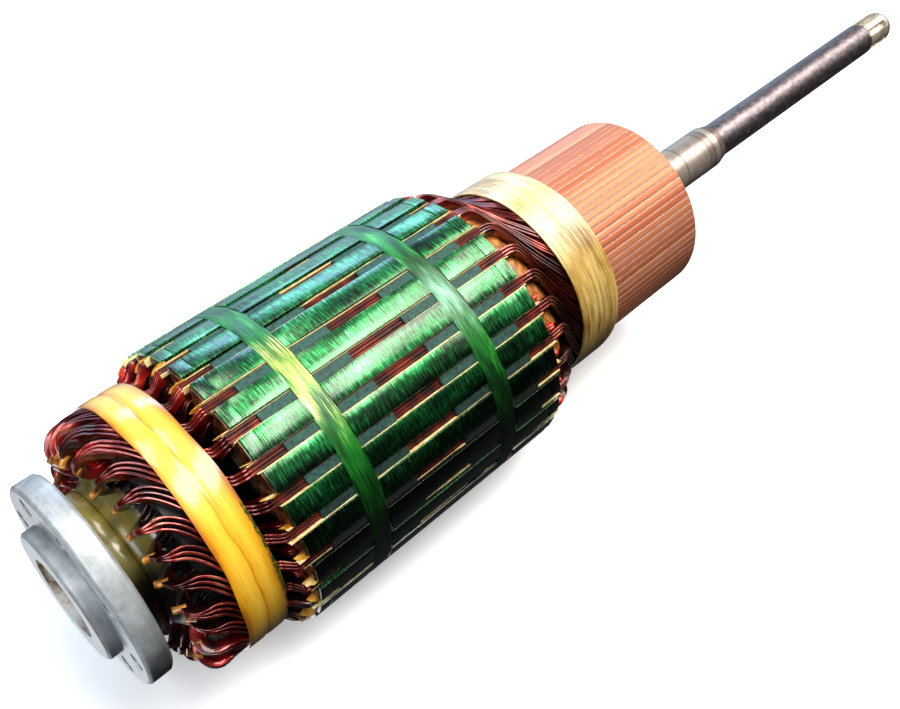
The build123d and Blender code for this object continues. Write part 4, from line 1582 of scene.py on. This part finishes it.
@dataclass
class SmallBits:
    """What repeats round the shaft: mica between the bars, drips of lacquer and flakes of paper by the slots."""

    tree: Tree
    bar_gap_share: float = 0.14
    mica_width: float = 1.0 * MM
    mica_depth: float = 6.0 * MM
    mica_drop: float = 0.14 * MM
    mica_play: tuple[float, float, float] = (0.0, 0.0, 0.05 * MM)
    mica_inset: tuple[float, float] = (4.0 * MM, 1.7 * MM)
    riser_clear: float = 10.0 * MM
    drip: tuple[float, float, float] = (8.5 * MM, 5.4 * MM, 8.5 * MM)
    drips_each: int = 3
    drip_turns: tuple[float, float] = (-2.0, -0.75)
    drip_aside: tuple[float, float] = (0.26, 0.44)
    drip_out_mm: tuple[float, float] = (1.5, 6.0)
    drip_depth_mm: tuple[float, float] = (1.0, 7.0)
    drip_sizes: tuple[float, float] = (0.6, 1.2)
    flake: tuple[float, float, float] = (10.0 * MM, 0.6 * MM, 8.0 * MM)
    flake_bend: float = 1.6 * MM
    flake_inset: tuple[float, float] = (0.4 * MM, 5.5 * MM)
    flake_play: tuple[float, float, float] = (2.6 * MM, 0.5 * MM, 2.4 * MM)
    flake_outline: tuple = ((0.3, -0.5), (0.3, 0.45), (-0.35, 0.5), (-0.8, 0.15), (-1.0, -0.3), (-0.6, -0.45))
    seed: int = 41

    def brush_radius(self) -> float:
        """Radius of the surface that the brushes run on.

        Returns:
            The radius in metres.
        """
        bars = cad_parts["commutator_bars"].data.vertices
        points = np.empty(len(bars) * 3)
        bars.foreach_get("co", points)
        points = points.reshape(-1, 3)
        past = points[points[:, 0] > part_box("comm_band")[1][0] + self.riser_clear]
        return float(np.hypot(past[:, 1], past[:, 2]).max())

    def build_mica(self) -> None:
        """Strips of mica between the bars, skimmed almost level with the copper."""
        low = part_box("comm_band")[1][0] - self.mica_inset[0]
        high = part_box("commutator_bars")[1][0] - self.mica_inset[1]
        level = self.brush_radius() - self.mica_drop - self.mica_depth / 2
        shape = block((high - low, self.mica_width, self.mica_depth), ((low + high) / 2, 0, level))
        turn = math.pi * self.bar_gap_share / BAR_COUNT
        bmesh.ops.rotate(shape, cent=(0, 0, 0), matrix=Matrix.Rotation(-turn, 3, "X"), verts=shape.verts)
        around = Round(BAR_COUNT, self.mica_play, self.seed + BAR_COUNT)
        around.place("mica-strips", self.tree, shape, PALETTE.mica, "mica", "commutator_mica")

    def build_drips(self) -> None:
        """Drips of red lacquer beside the leads of the underside, where it pooled before it set."""
        end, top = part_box("end_pack_comm")[1][0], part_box("slot_liners")[1][2]
        random = np.random.default_rng(self.seed)
        shape = bmesh.new()
        low, high = self.drip_turns
        for middle in from_top(slot_turns()):
            for _ in range(self.drips_each if low < middle < high else 0):
                turn = middle + FULL_TURN / SLOT_COUNT * random.uniform(*self.drip_aside)
                out = random.uniform(*self.drip_out_mm) * MM
                radius = top - random.uniform(*self.drip_depth_mm) * MM
                place = Matrix.Translation(on_drum(end + out, turn, radius)) @ Matrix.Rotation(-turn, 4, "X")
                size = Matrix.Diagonal((*np.multiply(self.drip, random.uniform(*self.drip_sizes, 3)), 1.0))
                bmesh.ops.create_icosphere(shape, subdivisions=2, radius=0.5, matrix=place @ size)
        for face in shape.faces:
            face.smooth = True
        mesh = mesh_of("lacquer-drips", shape, PALETTE.lacquer)
        finish_piece(new_object("lacquer-drips", mesh), "enamelled_copper")

    def build_flakes(self) -> None:
        """Torn ends of yellow paper that stand out of the slots at the drive end."""
        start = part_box("end_pack_drive")[0][0]
        length, wall, height = self.flake
        shape = bmesh.new()
        rims = []
        for side in (-0.5, 0.5):
            bend = [(x, side * wall + self.flake_bend * min(x, 0.0) ** 2, z) for x, z in self.flake_outline]
            rims.append([shape.verts.new((start + x * length, y, z * height)) for x, y, z in bend])
        shape.faces.new(rims[0])
        shape.faces.new(rims[1][::-1])
        for i, corner in enumerate(rims[0]):
            j = (i + 1) % len(rims[0])
            shape.faces.new((rims[0][j], corner, rims[1][i], rims[1][j]))
        bmesh.ops.recalc_face_normals(shape, faces=shape.faces)
        inset, drop = self.flake_inset
        place = Vector((0, SLOT_WIDTH / 2 - inset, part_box("slot_liners")[1][2] - drop))
        bmesh.ops.translate(shape, vec=place, verts=shape.verts)
        around = Round(SLOT_COUNT, self.flake_play, self.seed + SLOT_COUNT)
        around.place("paper-flakes", self.tree, shape, PALETTE.flake, "liner_paper")

    def build(self) -> None:
        """Make the mica, the drips and the flakes."""
        self.build_mica()
        self.build_drips()
        self.build_flakes()


@dataclass(frozen=True)
class Lamp:
    """A soft light that faces the armature: the way to it, its distance, its two sides, watts and colour."""

    name: str
    way: tuple[float, float, float]
    reach: float
    size: tuple[float, float]
    power: float
    colour: str

    def build(self, middle: tuple[float, float, float]) -> None:
        """Hang the lamp where it looks at a point in the armature.

        Args:
            middle: That point.
        """
        lamp = bpy.data.lights.new(self.name, "AREA")
        lamp.shape = "RECTANGLE"
        lamp.size, lamp.size_y = self.size
        lamp.energy = self.power
        lamp.color = linear(self.colour)[:3]
        made = bpy.data.objects.new(self.name, lamp)
        aim = Vector(self.way).normalized()
        turn = aim.to_track_quat("Z", "Y").to_matrix().to_4x4()
        made.matrix_world = Matrix.Translation(Vector(middle) + aim * self.reach) @ turn
        made.visible_camera = False
        bpy.context.scene.collection.objects.link(made)


@dataclass
class Studio:
    """Pale floor, soft lights and the camera."""

    floor_size: float = 14.0
    floor_gap: float = 0.2 * MM
    floor_middle: float = 0.5
    middle: tuple = (0.35, 0.0, 0.0)
    heights: tuple = (
        (0.0, "#3b3d3f"), (0.27, "#1a1b1c"), (0.58, "#0f1113"),
        (0.72, "#333b43"), (0.88, "#6f7983"), (1.0, "#8b949d"),
    )
    glow_way: tuple = (-0.42, 0.52, -0.745)
    sky_way: tuple = (0.46, 0.88, 0.08)
    glow_edge: tuple[float, float] = (0.84, 0.97)
    sky_edge: tuple[float, float] = (0.7, 0.96)
    glow_power: tuple[float, float] = (0.8, 2.4)
    sky_power: float = 2.6
    glow_colour: str = "#eef1f5"
    sky_colour: str = "#8fa9bf"
    backdrop: str = "#eceef0"
    lens_mm: float = 42.0
    sensor_mm: float = 36.0
    camera_place: tuple = (-0.0841, -0.4989, 0.6558)
    camera_aim: tuple = (0.4772, 0.5147, -0.7124)
    camera_up: tuple = (0.0, -0.0411, 0.9992)
    lamps: tuple = (
        Lamp("key", (0.2, -0.31, 0.93), 1.5, (1.15, 0.6), 29.0, "#fffaf0"),
        Lamp("top", (0.66, -0.1, 0.75), 1.6, (1.0, 0.5), 11.0, "#fff6ea"),
        Lamp("sky", (0.35, 0.78, 0.52), 1.55, (1.1, 0.35), 11.0, "#a8ccff"),
        Lamp("near", (-0.34, 0.2, 0.92), 0.74, (0.3, 0.18), 1.7, "#fffaf0"),
        Lamp("fill", (-0.806, -0.288, 0.518), 0.87, (0.4, 0.4), 3.0, "#f4f8ff"),
        Lamp("end", (0.86, -0.2, 0.46), 1.8, (0.9, 0.6), 12.0, "#fff4ec"),
    )

    def build_floor(self) -> None:
        """Plain pale floor under the core. It gives no gloss to the armature's underside."""
        shape = bmesh.new()
        bmesh.ops.create_grid(shape, x_segments=1, y_segments=1, size=self.floor_size / 2)
        bmesh.ops.translate(shape, vec=(self.floor_middle, 0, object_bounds()[0][2] - self.floor_gap), verts=shape.verts)
        floor = new_object("floor", mesh_of("floor", shape, PALETTE.floor))
        floor.visible_glossy = False
        floor.visible_diffuse = False
        floor.visible_shadow = False
        floor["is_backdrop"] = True

    def build_world(self) -> None:
        """Bright above and dark at the horizon, with two brighter parts, and a plain pale backdrop.

        The glow low down behind is what the flange face mirrors, and the sky beyond the far side is what the
        core's upper teeth mirror.
        """
        world = bpy.data.worlds.new("studio")
        world.use_nodes = True
        bpy.context.scene.world = world
        pen = Pen(world.node_tree, world.node_tree.nodes["Background"])
        way = pen.add("TexCoord", out="Generated")
        height = pen.span(pen.add("SeparateXYZ", {0: way}, 2), -1.0, 1.0)
        facing = pen.vector("DOT_PRODUCT", way, self.glow_way, out="Value")
        sky = pen.span(pen.vector("DOT_PRODUCT", way, self.sky_way, out="Value"), *self.sky_edge)
        glow = pen.span(facing, *self.glow_edge)
        lit = pen.blend(glow, pen.ramp(height, self.heights), linear(self.glow_colour))
        lit = pen.blend(sky, lit, linear(self.sky_colour))
        bright = pen.span(facing, *self.glow_edge, *self.glow_power)
        power = pen.math("MAXIMUM", bright, pen.span(sky, 0.0, 1.0, 0.0, self.sky_power))
        seen = pen.add("LightPath", out="Is Camera Ray")
        pen.paint({"Color": pen.blend(seen, lit, linear(self.backdrop)), "Strength": pen.mix(seen, power, 1.0)})

    def build_camera(self) -> None:
        """Camera at the photograph's place and angle."""
        lens = bpy.data.cameras.new("camera")
        lens.sensor_fit = "HORIZONTAL"
        lens.sensor_width = self.sensor_mm
        lens.lens = self.lens_mm
        camera = bpy.data.objects.new("camera", lens)
        back = -Vector(self.camera_aim).normalized()
        right = Vector(self.camera_up).cross(back).normalized()
        turn = Matrix((right, back.cross(right), back)).transposed().to_4x4()
        camera.matrix_world = Matrix.Translation(self.camera_place) @ turn
        bpy.context.scene.collection.objects.link(camera)
        bpy.context.scene.camera = camera

    def build(self) -> None:
        """Make the stage."""
        self.build_floor()
        self.build_world()
        for lamp in self.lamps:
            lamp.build(self.middle)
        self.build_camera()
        bpy.context.scene.view_settings.view_transform = "Standard"


def main() -> None:
    """Build the armature's pieces in order, then the stage."""
    logging.basicConfig(level=logging.INFO, format="%(name)s: %(message)s")
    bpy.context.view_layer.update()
    TurnedPieces().build()
    winding = Winding(strap_sweep_tree())
    noses = winding.build()
    NoseTips(winding.sweep, noses).build()
    LeadPacking(winding).build()
    filling = SlotFilling()
    ring = ring_tree()
    SmallBits(ring).build()
    filling.build_strips(ring)
    filling.build_paper()
    GlassBand("drive_band", "amber_band", PALETTE.amber, 0.5 * MM, crease=0.6 * MM).build()
    GlassBand("core_band_drive", "green_band", PALETTE.green_band, 0.5 * MM, seed=4).build()
    GlassBand("core_band_comm", "green_band", PALETTE.deep_band, 0.5 * MM, seed=5).build()
    GlassBand("comm_band", "cream_band", PALETTE.cream, 0.6 * MM, seed=6).build()
    Studio().build()


if __name__ == "__main__":
    main()
